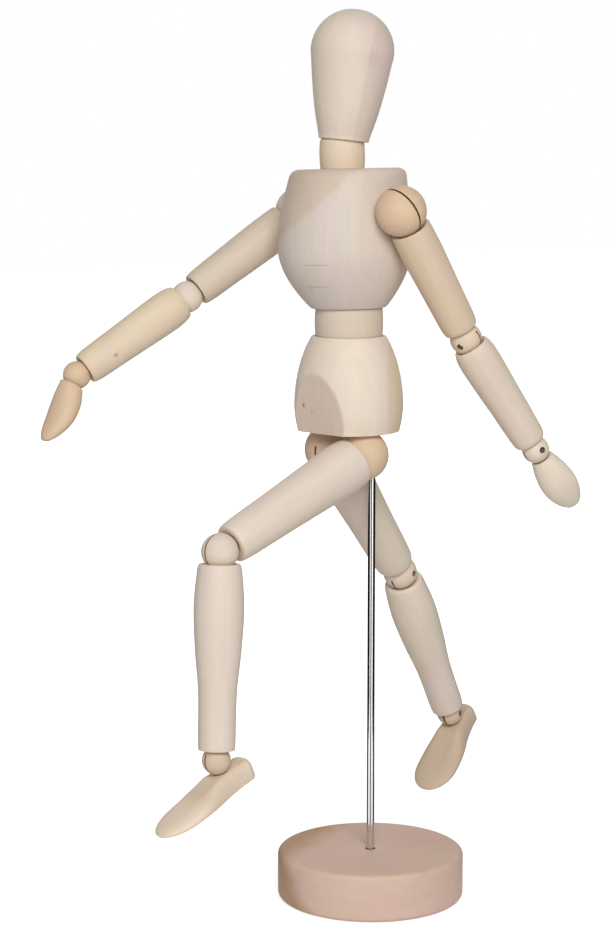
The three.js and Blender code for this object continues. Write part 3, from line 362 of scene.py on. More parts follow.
class MannequinStage(bpy.types.PropertyGroup):
    """Light and floor of the studio."""

    key_power: power_setting("Key power", "Power of the large front light", 11.8)
    back_power: power_setting("Back power", "Power of the light behind the figure", 6.0)
    fill_power: power_setting("Fill power", "Power of the left fill light", 0.5)
    sky: bpy.props.FloatProperty(
        name="Sky", description="Strength of the even light from all round", default=0.22)
    floor: colour_setting("Floor", "Colour of the floor", (0.8, 0.8, 0.8))


# Frames of the pieces: an origin in millimetres and a matrix whose columns are the piece's own X, Y and Z


def joint_place(name):
    """Place of a packed joint, in millimetres."""
    return np.array(JOINTS[name]["pos_m"], float) / MM


def joint_axis(name):
    """Unit axis of a packed joint."""
    axis = np.array(JOINTS[name]["axis"], float)
    return axis / np.linalg.norm(axis)


def axes(across, along):
    """Right-handed axes with Z along one direction and X squared up to it."""
    z = along / np.linalg.norm(along)
    x = across - across.dot(z) * z
    x = x / np.linalg.norm(x)
    return np.column_stack([x, np.cross(z, x), z])


def swung(across, along, degrees):
    """Direction turned about an axis square to it, by Rodrigues' formula."""
    angle = math.radians(degrees)
    return along * math.cos(angle) + np.cross(across, along) * math.sin(angle)


def pinned_place(joint, pin, along):
    """Frame at one joint with X along the pin joint's axis and Z along a third joint's."""
    return joint_place(joint), axes(joint_axis(pin), joint_axis(along))


def ball_place(joint):
    """A ball's frame: Z is the axis it turns on and X its cross pin."""
    return pinned_place(joint + "_turn", joint + "_swing", joint + "_turn")


def limb_place(joint, next_joint):
    """A limb's frame: Z runs from its lower joint to its upper one."""
    return pinned_place(joint + "_turn", joint + "_swing", next_joint + "_turn")


def end_place(joint, degrees, roll=0.0):
    """Frame of a hand or foot, which swings about its ball's pin and, for a hand, is rolled on its eye."""
    across = joint_axis(joint + "_swing")
    along = swung(across, joint_axis(joint + "_turn"), degrees)
    return joint_place(joint + "_turn"), axes(swung(along, across, roll), along)


def pelvis_place():
    across = joint_place("left_hip_turn") - joint_place("right_hip_turn")
    turned_axes = axes(across, joint_axis("waist_turn"))
    return joint_place("waist_turn") - (PELVIS_HEIGHT + WAIST_HALF_GAP) * turned_axes[:, 2], turned_axes


def chest_place():
    across = joint_place("left_shoulder_turn") - joint_place("right_shoulder_turn")
    turned_axes = axes(across, joint_axis("neck_turn"))
    return joint_place("waist_turn") + WAIST_HALF_GAP * turned_axes[:, 2], turned_axes


def head_place():
    across = joint_axis("neck_nod")
    return joint_place("neck_turn"), axes(across, swung(across, joint_axis("neck_turn"), HEAD_NOD))


STAND_PLACE = (np.zeros(3), np.eye(3))


# Curves and grids


def spline(stations, steps=SPLINE_STEPS):
    """Uniform Catmull-Rom curve through the stations: each span is a cubic whose end slopes are half
    the step between the stations on either side, and the first and last stations are held."""
    points = np.asarray(stations, float)
    held = np.vstack([points[:1], points, points[-1:]])
    before, start, end, after = held[:-3, None], held[1:-2, None], held[2:-1, None], held[3:, None]
    t = np.linspace(0, 1, steps, endpoint=False)[None, :, None]
    slope_start = (end - before) / 2
    slope_end = (after - start) / 2
    curve = start + slope_start * t
    curve = curve + (3 * (end - start) - 2 * slope_start - slope_end) * t ** 2
    curve = curve + (2 * (start - end) + slope_start + slope_end) * t ** 3
    return np.vstack([curve.reshape(-1, points.shape[1]), points[-1:]])


def line(start, end, steps):
    """Straight run of points from start to end, both included."""
    return np.linspace(start, end, steps)


def curve_through(start, control, end, steps):
    """Quadratic curve from start to end that leaves and arrives along the lines to its control point."""
    start, control, end = (np.asarray(p, float) for p in (start, control, end))
    t = np.linspace(0, 1, steps)[:, None]
    return (1 - t) ** 2 * start + 2 * t * (1 - t) * control + t ** 2 * end


def corner(before, at, after, radius, steps=5):
    """Rounded corner: a quadratic curve that leaves the incoming edge and meets the outgoing one at the
    same distance from the corner point, or half way along an edge that is too short for it."""
    before, at, after = (np.asarray(p, float) for p in (before, at, after))
    start = at + (before - at) * min(radius / np.linalg.norm(before - at), 0.5)
    end = at + (after - at) * min(radius / np.linalg.norm(after - at), 0.5)
    return curve_through(start, at, end, steps)


def bowl(radius, centre, start, end, side, steps):
    """Part of a circle's profile as [radius, height]: the height is the centre's plus or minus
    the root of the circle's radius squared less the point's radius squared."""
    out = np.linspace(start, end, steps)
    return np.column_stack([out, centre + side * np.sqrt(radius ** 2 - out ** 2)])


def round_angles(count):
    """Evenly spaced angles round a full circle."""
    return np.linspace(0, 2 * np.pi, count, endpoint=False)


def turned(profile, sides):
    """Surface of revolution: each [radius, height] of the profile is carried round the Z axis."""
    angle = round_angles(sides)
    radius = profile[:, :1]
    height = np.repeat(profile[:, 1:], sides, axis=1)
    return np.stack([radius * np.cos(angle), radius * np.sin(angle), height], axis=2)


def soft_least(first, second, width):
    """Smaller of two values with the crease between them eased over the given width."""
    ease = np.clip(0.5 + 0.5 * (second - first) / width, 0, 1)
    return second * (1 - ease) + first * ease - width * ease * (1 - ease)


def grid_faces(rows, columns, loop):
    """Quads between neighbouring rows and columns of a grid whose columns close on themselves."""
    index = np.arange(rows * columns).reshape(rows, columns)
    beside = np.roll(index, -1, axis=1)
    if loop:
        upper, upper_beside = np.roll(index, -1, axis=0), np.roll(beside, -1, axis=0)
        lower, lower_beside = index, beside
    else:
        upper, upper_beside = index[1:], beside[1:]
        lower, lower_beside = index[:-1], beside[:-1]
    return np.stack([lower, lower_beside, upper_beside, upper], axis=2).reshape(-1, 4)


def pole_faces(rows, columns):
    """Triangles that close the first and the last row of a grid on one point each."""
    ring = np.arange(columns)
    beside = np.roll(ring, -1)
    last = (rows - 1) * columns
    first_pole = np.full(columns, rows * columns)
    start = np.stack([first_pole, beside, ring], axis=1)
    end = np.stack([first_pole + 1, last + ring, last + beside], axis=1)
    return np.vstack([start, end])


def enclosed_volume(points, quads, triangles):
    """Six times the signed volume inside the faces, from the triple products of their corners."""
    halves = np.vstack([quads[:, [0, 1, 2]], quads[:, [0, 2, 3]], triangles])
    a, b, c = points[halves[:, 0]], points[halves[:, 1]], points[halves[:, 2]]
    return np.einsum("ij,ij->i", a, np.cross(b, c)).sum()


def make_piece(name, grid, place, material, cut=None, loop=False, grain=None):
    """Mesh object from a grid of points in the piece's own frame, rows by columns.

    The points keep their own coordinates as the attribute grain, and the share of each that is
    sawn or drilled as the attribute cut, which the wood darkens as raw sawn wood and as painted
    shade in the recess. Faces are turned outwards by the sign of the volume.
    """
    rows, columns = grid.shape[:2]
    points = grid.reshape(-1, 3)
    sawn = np.zeros(rows * columns) if cut is None else np.broadcast_to(cut, (rows, columns)).ravel()
    quads = grid_faces(rows, columns, loop)
    triangles = np.zeros((0, 3), int)
    if not loop:
        points = np.vstack([points, grid[0].mean(axis=0), grid[-1].mean(axis=0)])
        sawn = np.concatenate([sawn, sawn[:1], sawn[-1:]])
        triangles = pole_faces(rows, columns)
    if enclosed_volume(points, quads, triangles) < 0:
        quads = quads[:, ::-1]
        triangles = triangles[:, ::-1]
    origin, turn = place
    placed = (origin + points @ turn.T) * MM
    corners = np.concatenate([quads.ravel(), triangles.ravel()])
    starts = np.concatenate([4 * np.arange(len(quads)), quads.size + 3 * np.arange(len(triangles))])
    mesh = bpy.data.meshes.new(name)
    mesh.vertices.add(len(placed))
    mesh.vertices.foreach_set("co", placed.astype(np.float32).ravel())
    mesh.loops.add(len(corners))
    mesh.loops.foreach_set("vertex_index", corners.astype(np.int32))
    mesh.polygons.add(len(starts))
    mesh.polygons.foreach_set("loop_start", starts.astype(np.int32))
    mesh.update(calc_edges=True)
    if mesh.validate():
        raise RuntimeError(f"{name} has faces that do not hold together")
    own = points if grain is None else points @ grain
    grain_layer = mesh.attributes.new("grain", "FLOAT_VECTOR", "POINT")
    grain_layer.data.foreach_set("vector", own.astype(np.float32).ravel())
    cut_layer = mesh.attributes.new("cut", "FLOAT", "POINT")
    cut_layer.data.foreach_set("value", sawn.astype(np.float32))
    mesh.shade_smooth()
    mesh.set_sharp_from_angle(angle=math.radians(SMOOTH_ANGLE))
    mesh.materials.append(material)
    piece = bpy.data.objects.new(name, mesh)
    bpy.context.scene.collection.objects.link(piece)
    return piece


def dress(piece, body, node):
    """Puts a piece on its body in place of its solid."""
    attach(piece, body)
    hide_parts(node)


# Shader wiring


class Wiring:
    """Adds nodes to a tree and returns their outputs, so that a pattern reads as a formula."""

    def __init__(self, tree):
        self.tree = tree

    def node(self, kind, **settings):
        made = self.tree.nodes.new(kind)
        for key, value in settings.items():
            setattr(made, key, value)
        return made

    def feed(self, socket, value):
        if isinstance(value, bpy.types.NodeSocket):
            self.tree.links.new(value, socket)
        else:
            socket.default_value = value

    def math(self, operation, first, second=0.0, clamp=False):
        made = self.node("ShaderNodeMath", operation=operation, use_clamp=clamp)
        self.feed(made.inputs[0], first)
        self.feed(made.inputs[1], second)
        return made.outputs[0]

    def plus(self, first, second):
        return self.math("ADD", first, second)

    def minus(self, first, second):
        return self.math("SUBTRACT", first, second)

    def times(self, first, second):
        return self.math("MULTIPLY", first, second)

    def vector(self, operation, first, second=(0.0, 0.0, 0.0), output="Vector"):
        made = self.node("ShaderNodeVectorMath", operation=operation)
        self.feed(made.inputs[0], first)
        self.feed(made.inputs[1], second)
        return made.outputs[output]

    def stretch(self, vector, factors):
        return self.vector("MULTIPLY", vector, factors)

    def noise(self, vector, scale=1.0, detail=2.0, output="Fac"):
        made = self.node("ShaderNodeTexNoise")
        self.feed(made.inputs["Vector"], vector)
        made.inputs["Scale"].default_value = scale
        made.inputs["Detail"].default_value = detail
        return made.outputs[output]

    def step(self, value, low, high):
        made = self.node("ShaderNodeMapRange", interpolation_type="SMOOTHSTEP")
        self.feed(made.inputs["Value"], value)
        self.feed(made.inputs["From Min"], low)
        self.feed(made.inputs["From Max"], high)
        return made.outputs["Result"]

    def mix(self, factor, first, second, blend="MIX"):
        made = self.node("ShaderNodeMix", data_type="RGBA", blend_type=blend)
        self.feed(made.inputs["Factor"], factor)
        self.feed(made.inputs[6], first)
        self.feed(made.inputs[7], second)
        return made.outputs[2]


def new_group(name, inputs, outputs):
    """Empty shader group with the named sockets, and its input and output nodes."""
    group = bpy.data.node_groups.new(name, "ShaderNodeTree")
    for label, kind in inputs:
        group.interface.new_socket(label, in_out="INPUT", socket_type="NodeSocket" + kind)
    for label, kind in outputs:
        group.interface.new_socket(label, in_out="OUTPUT", socket_type="NodeSocket" + kind)
    wiring = Wiring(group)
    return group, wiring, wiring.node("NodeGroupInput").outputs, wiring.node("NodeGroupOutput").inputs


def wood_grain_group():
    """Faint growth rings round a far pith, long bands, fine fibres, short pores and slow drifts of tone
    and hue: each is a noise of the piece's own coordinates, drawn out along the grain."""
    inputs = [("Coordinate", "Vector"), ("Shift", "Vector"), ("Pith", "Vector"), ("Pale", "Color"),
              ("Late Wood", "Color"), ("Ring Spacing", "Float"), ("Figure", "Float")]
    outputs = [("Color", "Color"), ("Roughness", "Float"), ("Height", "Float")]
    group, w, given, made = new_group("wood_grain", inputs, outputs)
    shifted = w.vector("ADD", given["Coordinate"], given["Shift"])

    def drawn_out(across, along, detail):
        return w.noise(w.stretch(shifted, (across, across, along)), detail=detail)

    def weighed(value, middle, weight):
        return w.times(w.minus(value, middle), weight)

    ring_fineness = (0.07, 0.07, 0.02)
    ring_wander = (7.0, 7.0, 0.0)
    ring_flatness = (1.0, 1.0, 0.05)
    wander = w.noise(w.stretch(shifted, ring_fineness), output="Color")
    wander = w.stretch(w.vector("SUBTRACT", wander, (0.5, 0.5, 0.5)), ring_wander)
    from_pith = w.vector("ADD", w.vector("SUBTRACT", given["Coordinate"], given["Pith"]), wander)
    from_pith = w.stretch(from_pith, ring_flatness)
    rings = w.math("DIVIDE", w.vector("LENGTH", from_pith, output="Value"), given["Ring Spacing"])
    share = w.math("FRACT", rings)
    ring_end = w.minus(1.0, w.step(share, low=0.85, high=1.0))
    late = w.times(w.math("POWER", share, 4.0), ring_end)
    fibre = drawn_out(across=3.4, along=0.1, detail=3.0)
    pores = w.step(drawn_out(across=2.4, along=0.3, detail=1.0), low=0.68, high=0.78)
    bands = drawn_out(across=0.3, along=0.012, detail=2.0)
    drifts = drawn_out(across=0.06, along=0.03, detail=2.0)
    tone = w.plus(weighed(late, middle=0.1, weight=0.35), weighed(pores, middle=0.0, weight=0.22))
    for layer, weight in ((fibre, 0.7), (bands, 0.9), (drifts, 1.3)):
        tone = w.plus(tone, weighed(layer, middle=0.4, weight=weight))
    tone = w.math("MULTIPLY", tone, given["Figure"], clamp=True)
    shown = w.mix(tone, given["Pale"], given["Late Wood"])
    yellowish = (1.0, 1.0, 0.94, 1.0)
    pinkish = (1.0, 0.975, 0.99, 1.0)
    streaks = w.step(drawn_out(across=0.11, along=0.012, detail=1.0), low=0.3, high=0.7)
    hue = w.mix(streaks, yellowish, pinkish)
    w.feed(made["Color"], w.mix(1.0, shown, hue, "MULTIPLY"))
    least_roughness = 0.52
    fibre_roughness = 0.2
    w.feed(made["Roughness"], w.plus(least_roughness, w.times(fibre, fibre_roughness)))
    lathe_fineness = (0.0, 0.0, 1.7)
    lathe_height = 0.3
    fibre_height = 0.5
    pore_depth = 0.4
    turning = w.noise(w.stretch(shifted, lathe_fineness), detail=1.0)
    height = w.minus(w.times(fibre, fibre_height), w.times(pores, pore_depth))
    w.feed(made["Height"], w.plus(height, w.times(turning, lathe_height)))
    return group


def heart_and_shade_group():
    """Mask of the far side of a slightly wandering plane with a soft edge, used for the darker hearts of the
    log and for painted shade.
    """
    inputs = [("Coordinate", "Vector"), ("Side", "Vector"), ("Reach", "Float"), ("Softness", "Float"),
              ("Wander", "Float")]
    group, w, given, made = new_group("heartwood", inputs, [("Mask", "Float")])
    fineness = (0.12, 0.12, 0.05)
    along = w.vector("DOT_PRODUCT", given["Coordinate"], given["Side"], output="Value")
    wander = w.noise(w.stretch(given["Coordinate"], fineness))
    edge = w.plus(along, w.times(w.minus(wander, 0.5), given["Wander"]))
    end = w.plus(given["Reach"], given["Softness"])
    w.feed(made["Mask"], w.step(edge, given["Reach"], end))
    return group


def mark_group():
    """Mask of a knot or scratch: a ragged oval of the given half sizes that fades at its edge."""
    inputs = [("Coordinate", "Vector"), ("Centre", "Vector"), ("Half Size", "Vector")]
    group, w, given, made = new_group("mark", inputs, [("Mask", "Float")])
    offset = w.vector("SUBTRACT", given["Coordinate"], given["Centre"])
    distance = w.vector("LENGTH", w.vector("DIVIDE", offset, given["Half Size"]), output="Value")
    raggedness = 0.9
    ragged = w.times(w.noise(given["Coordinate"], scale=1.3), raggedness)
    distance = w.plus(distance, w.minus(ragged, raggedness / 2))
    w.feed(made["Mask"], w.minus(1.0, w.step(distance, low=0.35, high=1.1)))
    return group


def with_alpha(colour):
    return (*colour, 1.0)


def late_wood(colour):
    """The darker, browner tone of the wood's late growth."""
    return tuple(part * tint for part, tint in zip(colour, LATE_WOOD_TINT))


def new_material(name):
    """Node material with the wiring of its tree and its shader node."""
    material = bpy.data.materials.new(name)
    material.use_nodes = True
    return material, Wiring(material.node_tree), material.node_tree.nodes["Principled BSDF"]


def roughen(w, shader, height, strength, distance):
    """Tilts a shader's normal by the slopes of a height."""
    bump = w.node("ShaderNodeBump")
    bump.inputs["Strength"].default_value = strength
    bump.inputs["Distance"].default_value = distance
    w.feed(bump.inputs["Height"], height)
    w.feed(shader.inputs["Normal"], bump.outputs["Normal"])


def placed_group(w, group, coordinate, **values):
    """Group node fed with the piece's own coordinates and the given values."""
    made = w.node("ShaderNodeGroup", node_tree=bpy.data.node_groups[group])
    w.feed(made.inputs["Coordinate"], coordinate)
    for label, value in values.items():
        w.feed(made.inputs[label.replace("_", " ")], value)
    return made.outputs


def wood(name, number):
    """Wood of one piece: its own cut of the grain; darker where sawn and drilled, as raw wood and as painted
    shade in those recesses; tints beyond planes, which are hearts of the wood and, on the base and the
    pelvis's front facet, painted shade; and any knot or scratch.
    """
    finish = bpy.context.scene.mannequin_finish
    colour = getattr(finish, WOODS.get(name, "pale"))
    material, w, shader = new_material("wood_" + name)
    own = w.node("ShaderNodeAttribute", attribute_name="grain").outputs["Vector"]
    turn = number * PITH_TURN
    pith = (PITH_DISTANCE * math.cos(turn), PITH_DISTANCE * math.sin(turn), 0.0)
    grain = placed_group(
        w, "wood_grain", own, Shift=tuple(GRAIN_SHIFT * number), Pith=pith, Pale=with_alpha(colour),
        Late_Wood=with_alpha(late_wood(colour)), Ring_Spacing=finish.ring_spacing, Figure=finish.figure)
    shown = grain["Color"]
    # Tints beyond planes: hearts of the wood, and on the base and the pelvis's front facet painted shade
    for side, reach, softness, wander, tint in HEART_AND_SHADE_TINTS.get(name, ()):
        heart_and_shade_mask = placed_group(
            w, "heartwood", own, Side=side, Reach=reach, Softness=softness, Wander=wander)
        shown = w.mix(heart_and_shade_mask["Mask"], shown, w.mix(1.0, shown, with_alpha(tint), "MULTIPLY"))
    for centre, half_size, strength in MARKS.get(name, ()):
        mark = placed_group(w, "mark", own, Centre=centre, Half_Size=half_size)
        shown = w.mix(w.times(mark["Mask"], strength), shown, with_alpha(finish.knot))
    # Sawn and drilled surfaces take the saw cut colour: raw sawn wood, with painted shade in the narrow
    # recesses
    sawn = w.node("ShaderNodeAttribute", attribute_name="cut").outputs["Fac"]
    shown = w.mix(sawn, shown, with_alpha(finish.saw_cut_and_shade))
    w.feed(shader.inputs["Base Color"], shown)
    w.feed(shader.inputs["Roughness"], grain["Roughness"])
    roughen(w, shader, grain["Height"], *WOOD_BUMP)
    shader.inputs["Specular IOR Level"].default_value = WOOD_SPECULAR
    return material


def drawn_steel():
    """Bright drawn steel: fine lines along the wire vary its gloss."""
    finish = bpy.context.scene.mannequin_finish
    material, w, shader = new_material("drawn_steel")
    own = w.node("ShaderNodeTexCoord").outputs["Object"]
    lines = w.noise(w.stretch(own, STEEL_LINES), detail=2.0)
    cloud = w.noise(w.stretch(own, STEEL_CLOUD), detail=2.0)
    dull = tuple(STEEL_DULL_SHARE * part for part in finish.steel)
    least_roughness = 0.06
    line_roughness = 0.1
    w.feed(shader.inputs["Base Color"], w.mix(cloud, with_alpha(finish.steel), with_alpha(dull)))
    w.feed(shader.inputs["Roughness"], w.plus(least_roughness, w.times(lines, line_roughness)))
    roughen(w, shader, lines, *STEEL_BUMP)
    shader.inputs["Metallic"].default_value = 1.0
    return material


# Shapes of the pieces


def base_profile(radius, height, round_radius, hole_radius):
    """From the bottom of the rod's hole up its wall, over the top, down the side and under to the axis."""
    floor = height - ROD_BASE_DEPTH
    quarter = np.linspace(0, np.pi / 2, 9)
    inner = radius - round_radius
    bend = round_radius * np.column_stack([np.sin(quarter), np.cos(quarter)])
    top = bend + (inner, height - round_radius)
    under = bend[::-1] * (1, -1) + (inner, round_radius)
    near = 0.5
    return np.vstack([
        line((HOLE_CENTRE_SHARE * hole_radius, floor), (hole_radius, floor), steps=3),
        line((hole_radius, floor + near), (hole_radius, height - near / 2), steps=12),
        corner((hole_radius, height - 1), (hole_radius, height), (hole_radius + 1, height), HOLE_EDGE),
        line((hole_radius + 4 * HOLE_EDGE, height), (inner - near, height), steps=30),
        top,
        line((radius, height - round_radius - near), (radius, round_radius + near), steps=12),
        under,
        line((inner - near, 0), (2 * near, 0), steps=12),
    ])


def rod_profile(radius, low, high):
    """Straight bar with a small chamfer at each end."""
    face = ROD_CHAMFER_SHARE * radius
    middle = ROD_CENTRE_SHARE * radius
    return np.vstack([
        line((middle, low), (face, low), steps=2),
        line((radius, low + ROD_CHAMFER), (radius, high - ROD_CHAMFER), steps=60),
        line((face, high), (middle, high), steps=2),
    ])


def ball_grid(radius, slit_half, hole_radius, hole_depth, open_ends):
    """Ball round its pin, X. Along each half circle the distance from the pin is the root of the ball's
    radius squared less x squared. It drops into a pin hole at an open end, and at the slit, on the side
    away from the parent, down to the core. Returns the grid and the share of each point that is cut,
    which the wood darkens as raw sawn wood and as painted shade in the slit and the hole."""
    reach = math.sqrt(radius ** 2 - hole_radius ** 2)
    floor = reach - hole_depth
    lean_end = math.acos(SLIT_TOP / radius)
    wall_angle = 0.02
    closed_count = BALL_SIDES // 3
    open_count = BALL_SIDES - closed_count
    closed_angles = np.linspace(-lean_end, lean_end, closed_count)
    open_angles = np.linspace(lean_end + wall_angle, 2 * np.pi - lean_end - wall_angle, open_count)
    angle = np.concatenate([closed_angles, open_angles])
    in_slit = np.repeat([0.0, 1.0], [closed_count, open_count])

    lip = np.array([0.30, 0.16, 0.06, 0.0, 0.0, 0.0, 0.0])
    sink = np.array([0.0, 0.02, 0.09, 0.25, 1.2, 0.0, 0.0])
    # The slit's cut share darkens it as raw sawn wood and as painted shade, fading in over the lip
    slit_cut_and_shade = np.array([0, 0.1, 0.5, 1, 1, 1, 1.0])
    slit_x = slit_half + lip
    slit_r = np.sqrt(radius ** 2 - slit_x ** 2) - sink
    slit_r[-2:] = SLIT_CORE
    slit_x[-1] = 0.0
    plain_x = np.linspace(slit_x[0], 0, len(lip))
    plain_r = np.sqrt(radius ** 2 - plain_x ** 2)
    slit = np.stack([slit_x, slit_r, slit_cut_and_shade])
    plain = np.stack([plain_x, plain_r, np.zeros(len(lip))])

    def half(is_open, middle):
        polar = np.linspace(math.asin(hole_radius / radius), math.acos(slit_x[0] / radius), 26)[:-1]
        skin = np.stack([radius * np.cos(polar), radius * np.sin(polar), np.zeros(len(polar))])
        if is_open:
            hole_x = np.array([floor, floor, floor + 0.1, reach - 0.3, reach - 0.08])
            hole_r = np.array([0.4, 0.95, 1.0, 1.0, 1.02]) * hole_radius
            # The pin hole's cut share darkens it as raw drilled wood and as painted shade, fading out at its
            # mouth
            hole_cut_and_shade = np.array([1, 1, 1, 0.9, 0.5])
        else:
            hole_r = np.linspace(0.1, 0.9, 5) * hole_radius
            hole_x = np.sqrt(radius ** 2 - hole_r ** 2)
            hole_cut_and_shade = np.zeros(5)
        return np.hstack([np.stack([hole_x, hole_r, hole_cut_and_shade]), skin, middle])

    def whole(middle):
        far = half(open_ends[1], middle)[:, -2::-1]
        far[0] *= -1
        return np.hstack([half(open_ends[0], middle), far])[:, :, None]

    x, out, cut = whole(plain) * (1 - in_slit) + whole(slit) * in_slit
    return np.stack([x, out * np.sin(angle), out * np.cos(angle)], axis=2), cut


def rim_radius(ball, gap, distance):
    """Radius of the circle where the solid's cup, a little wider than the ball, meets a rim's plane."""
    return math.sqrt((CUP_SLACK * (ball + gap)) ** 2 - distance ** 2)


def cup_size(radius, half_gap, gap):
    """Radius of the sphere that a barrel's cup is turned to, and of the circle at the cup's rim."""
    sphere = math.hypot(radius, half_gap) + gap
    return sphere, math.sqrt(sphere ** 2 - half_gap ** 2)


def between(start, end, share):
    """Value that lies the given share of the way from start to end."""
    return start + share * (end - start)


def limb_stations(limb, gap):
    """Turned outline of a limb as distance from the upper joint and radius: a rim, a rounding, the widest
    circle and a taper, or a calf and a narrow part, down to the lower rim."""
    upper, lower, length, swell, radius, upper_rim, lower_rim = LIMBS[limb]
    rim = upper_rim * BALL_RADII[upper]
    foot = length - lower_rim * BALL_RADII[lower]
    rim_width = rim_radius(BALL_RADII[upper], gap, rim) + RIM_LIP
    if limb == "shin":
        narrow = length - SHIN_NARROW_ABOVE_ANKLE
        rim_width += RIM_LIP
        return [(rim, rim_width), (rim + ROUND_LENGTH, between(rim_width, radius, SHIN_ROUND_SHARE)),
                (swell, radius), ((swell + narrow) / 2, (radius + SHIN_NARROW_RADIUS) / 2 + SHIN_CALF),
                (narrow, SHIN_NARROW_RADIUS), (foot - 2 * SHIN_EDGE, SHIN_NARROW_RADIUS - SHIN_EDGE / 2),
                (foot, SHIN_NARROW_RADIUS - 1.5 * SHIN_EDGE)]
    foot_width = rim_radius(BALL_RADII[lower], gap, length - foot) + 2 * RIM_LIP
    return [(rim, rim_width), (rim + ROUND_LENGTH, between(rim_width, radius, ROUND_SHARE)), (swell, radius),
            ((swell + foot) / 2, between(foot_width, radius, TAPER_MIDDLE_SHARE)),
            (foot - TAPER_END_LENGTH, between(foot_width, radius, TAPER_END_SHARE)), (foot, foot_width)]


def cup_mouth(ball, gap, rim, rim_width):
    """Radius of a limb cup's lip, and the cup's profile down to the bore, on the ball's own curve.
    Heights are distances from the ball's centre towards the limb."""
    bowl_radius = ball + gap
    circle = math.sqrt(bowl_radius ** 2 - rim ** 2)
    lip = min(rim_width - MOUTH_LIP, circle + FLARE)
    return lip, bowl(bowl_radius, 0.0, MOUTH_SHARE * circle, BORE_RADIUS, 1.0, steps=14)


def limb_profile(stations, length, upper_ball, lower_ball, gap, rim_round):
    """Closed outline of a limb as [radius, height]: its side, the lower cup, the bore and the upper cup."""
    outline = spline(stations)
    side = np.column_stack([outline[:, 1], -outline[:, 0]])
    top, foot = side[0], side[-1]
    lower_lip, lower_bowl = cup_mouth(lower_ball, gap, length + foot[1], foot[0])
    upper_lip, upper_bowl = cup_mouth(upper_ball, gap, -top[1], top[0])
    lower_bowl = np.column_stack([lower_bowl[:, 0], lower_bowl[:, 1] - length])
    upper_bowl = np.column_stack([upper_bowl[:, 0], -upper_bowl[:, 1]])[::-1]
    lower_lip = np.array([lower_lip, foot[1]])
    upper_lip = np.array([upper_lip, top[1]])
    small = MOUTH_ROUND_SHARE * rim_round
    return np.vstack([
        corner(upper_lip, top, side[3], rim_round),
        side[2:-2],
        corner(side[-4], foot, lower_lip, rim_round),
        corner(foot, lower_lip, lower_bowl[0], small, steps=3),
        lower_bowl,
        line(lower_bowl[-1], upper_bowl[0], steps=12)[1:-1],
        upper_bowl,
        corner(upper_bowl[-1], upper_lip, top, small, steps=3),
    ])


def limb_bore_and_shade(profile):
    """Share of a limb's profile that lies in its bore, which no sanding reaches; it is darkened as the raw
    wood and as painted shade inside the bore.
    """
    return np.where(profile[:, :1] < BORE_RADIUS + BORE_MARGIN, 1.0, 0.0)


def barrel_profile(radius, half_gap):
    """Ball with its middle turned down to a slightly swollen band."""
    sphere = math.hypot(radius, half_gap)
    cap_angle = np.linspace(math.asin(half_gap / sphere), POLE_SHARE * np.pi / 2, 18)
    cap = np.column_stack([sphere * np.cos(cap_angle), sphere * np.sin(cap_angle)])
    height = np.linspace(-1, 1, 25)[1:-1]
    band = np.column_stack([radius + BARREL_BULGE * (1 - height ** 2), half_gap * height])
    lower = cap[::-1] * (1, -1)
    return np.vstack([lower, band, cap])


def belly(widest, widest_height, end, end_height, steps):
    """Elliptic side from the widest circle to a narrower end: the radius is the widest times the root of
    one less the squared share of the ellipse's half height."""
    reach = (end_height - widest_height) / math.sqrt(1 - (end / widest) ** 2)
    height = np.linspace(widest_height, end_height, steps)
    return np.column_stack([widest * np.sqrt(1 - ((height - widest_height) / reach) ** 2), height])


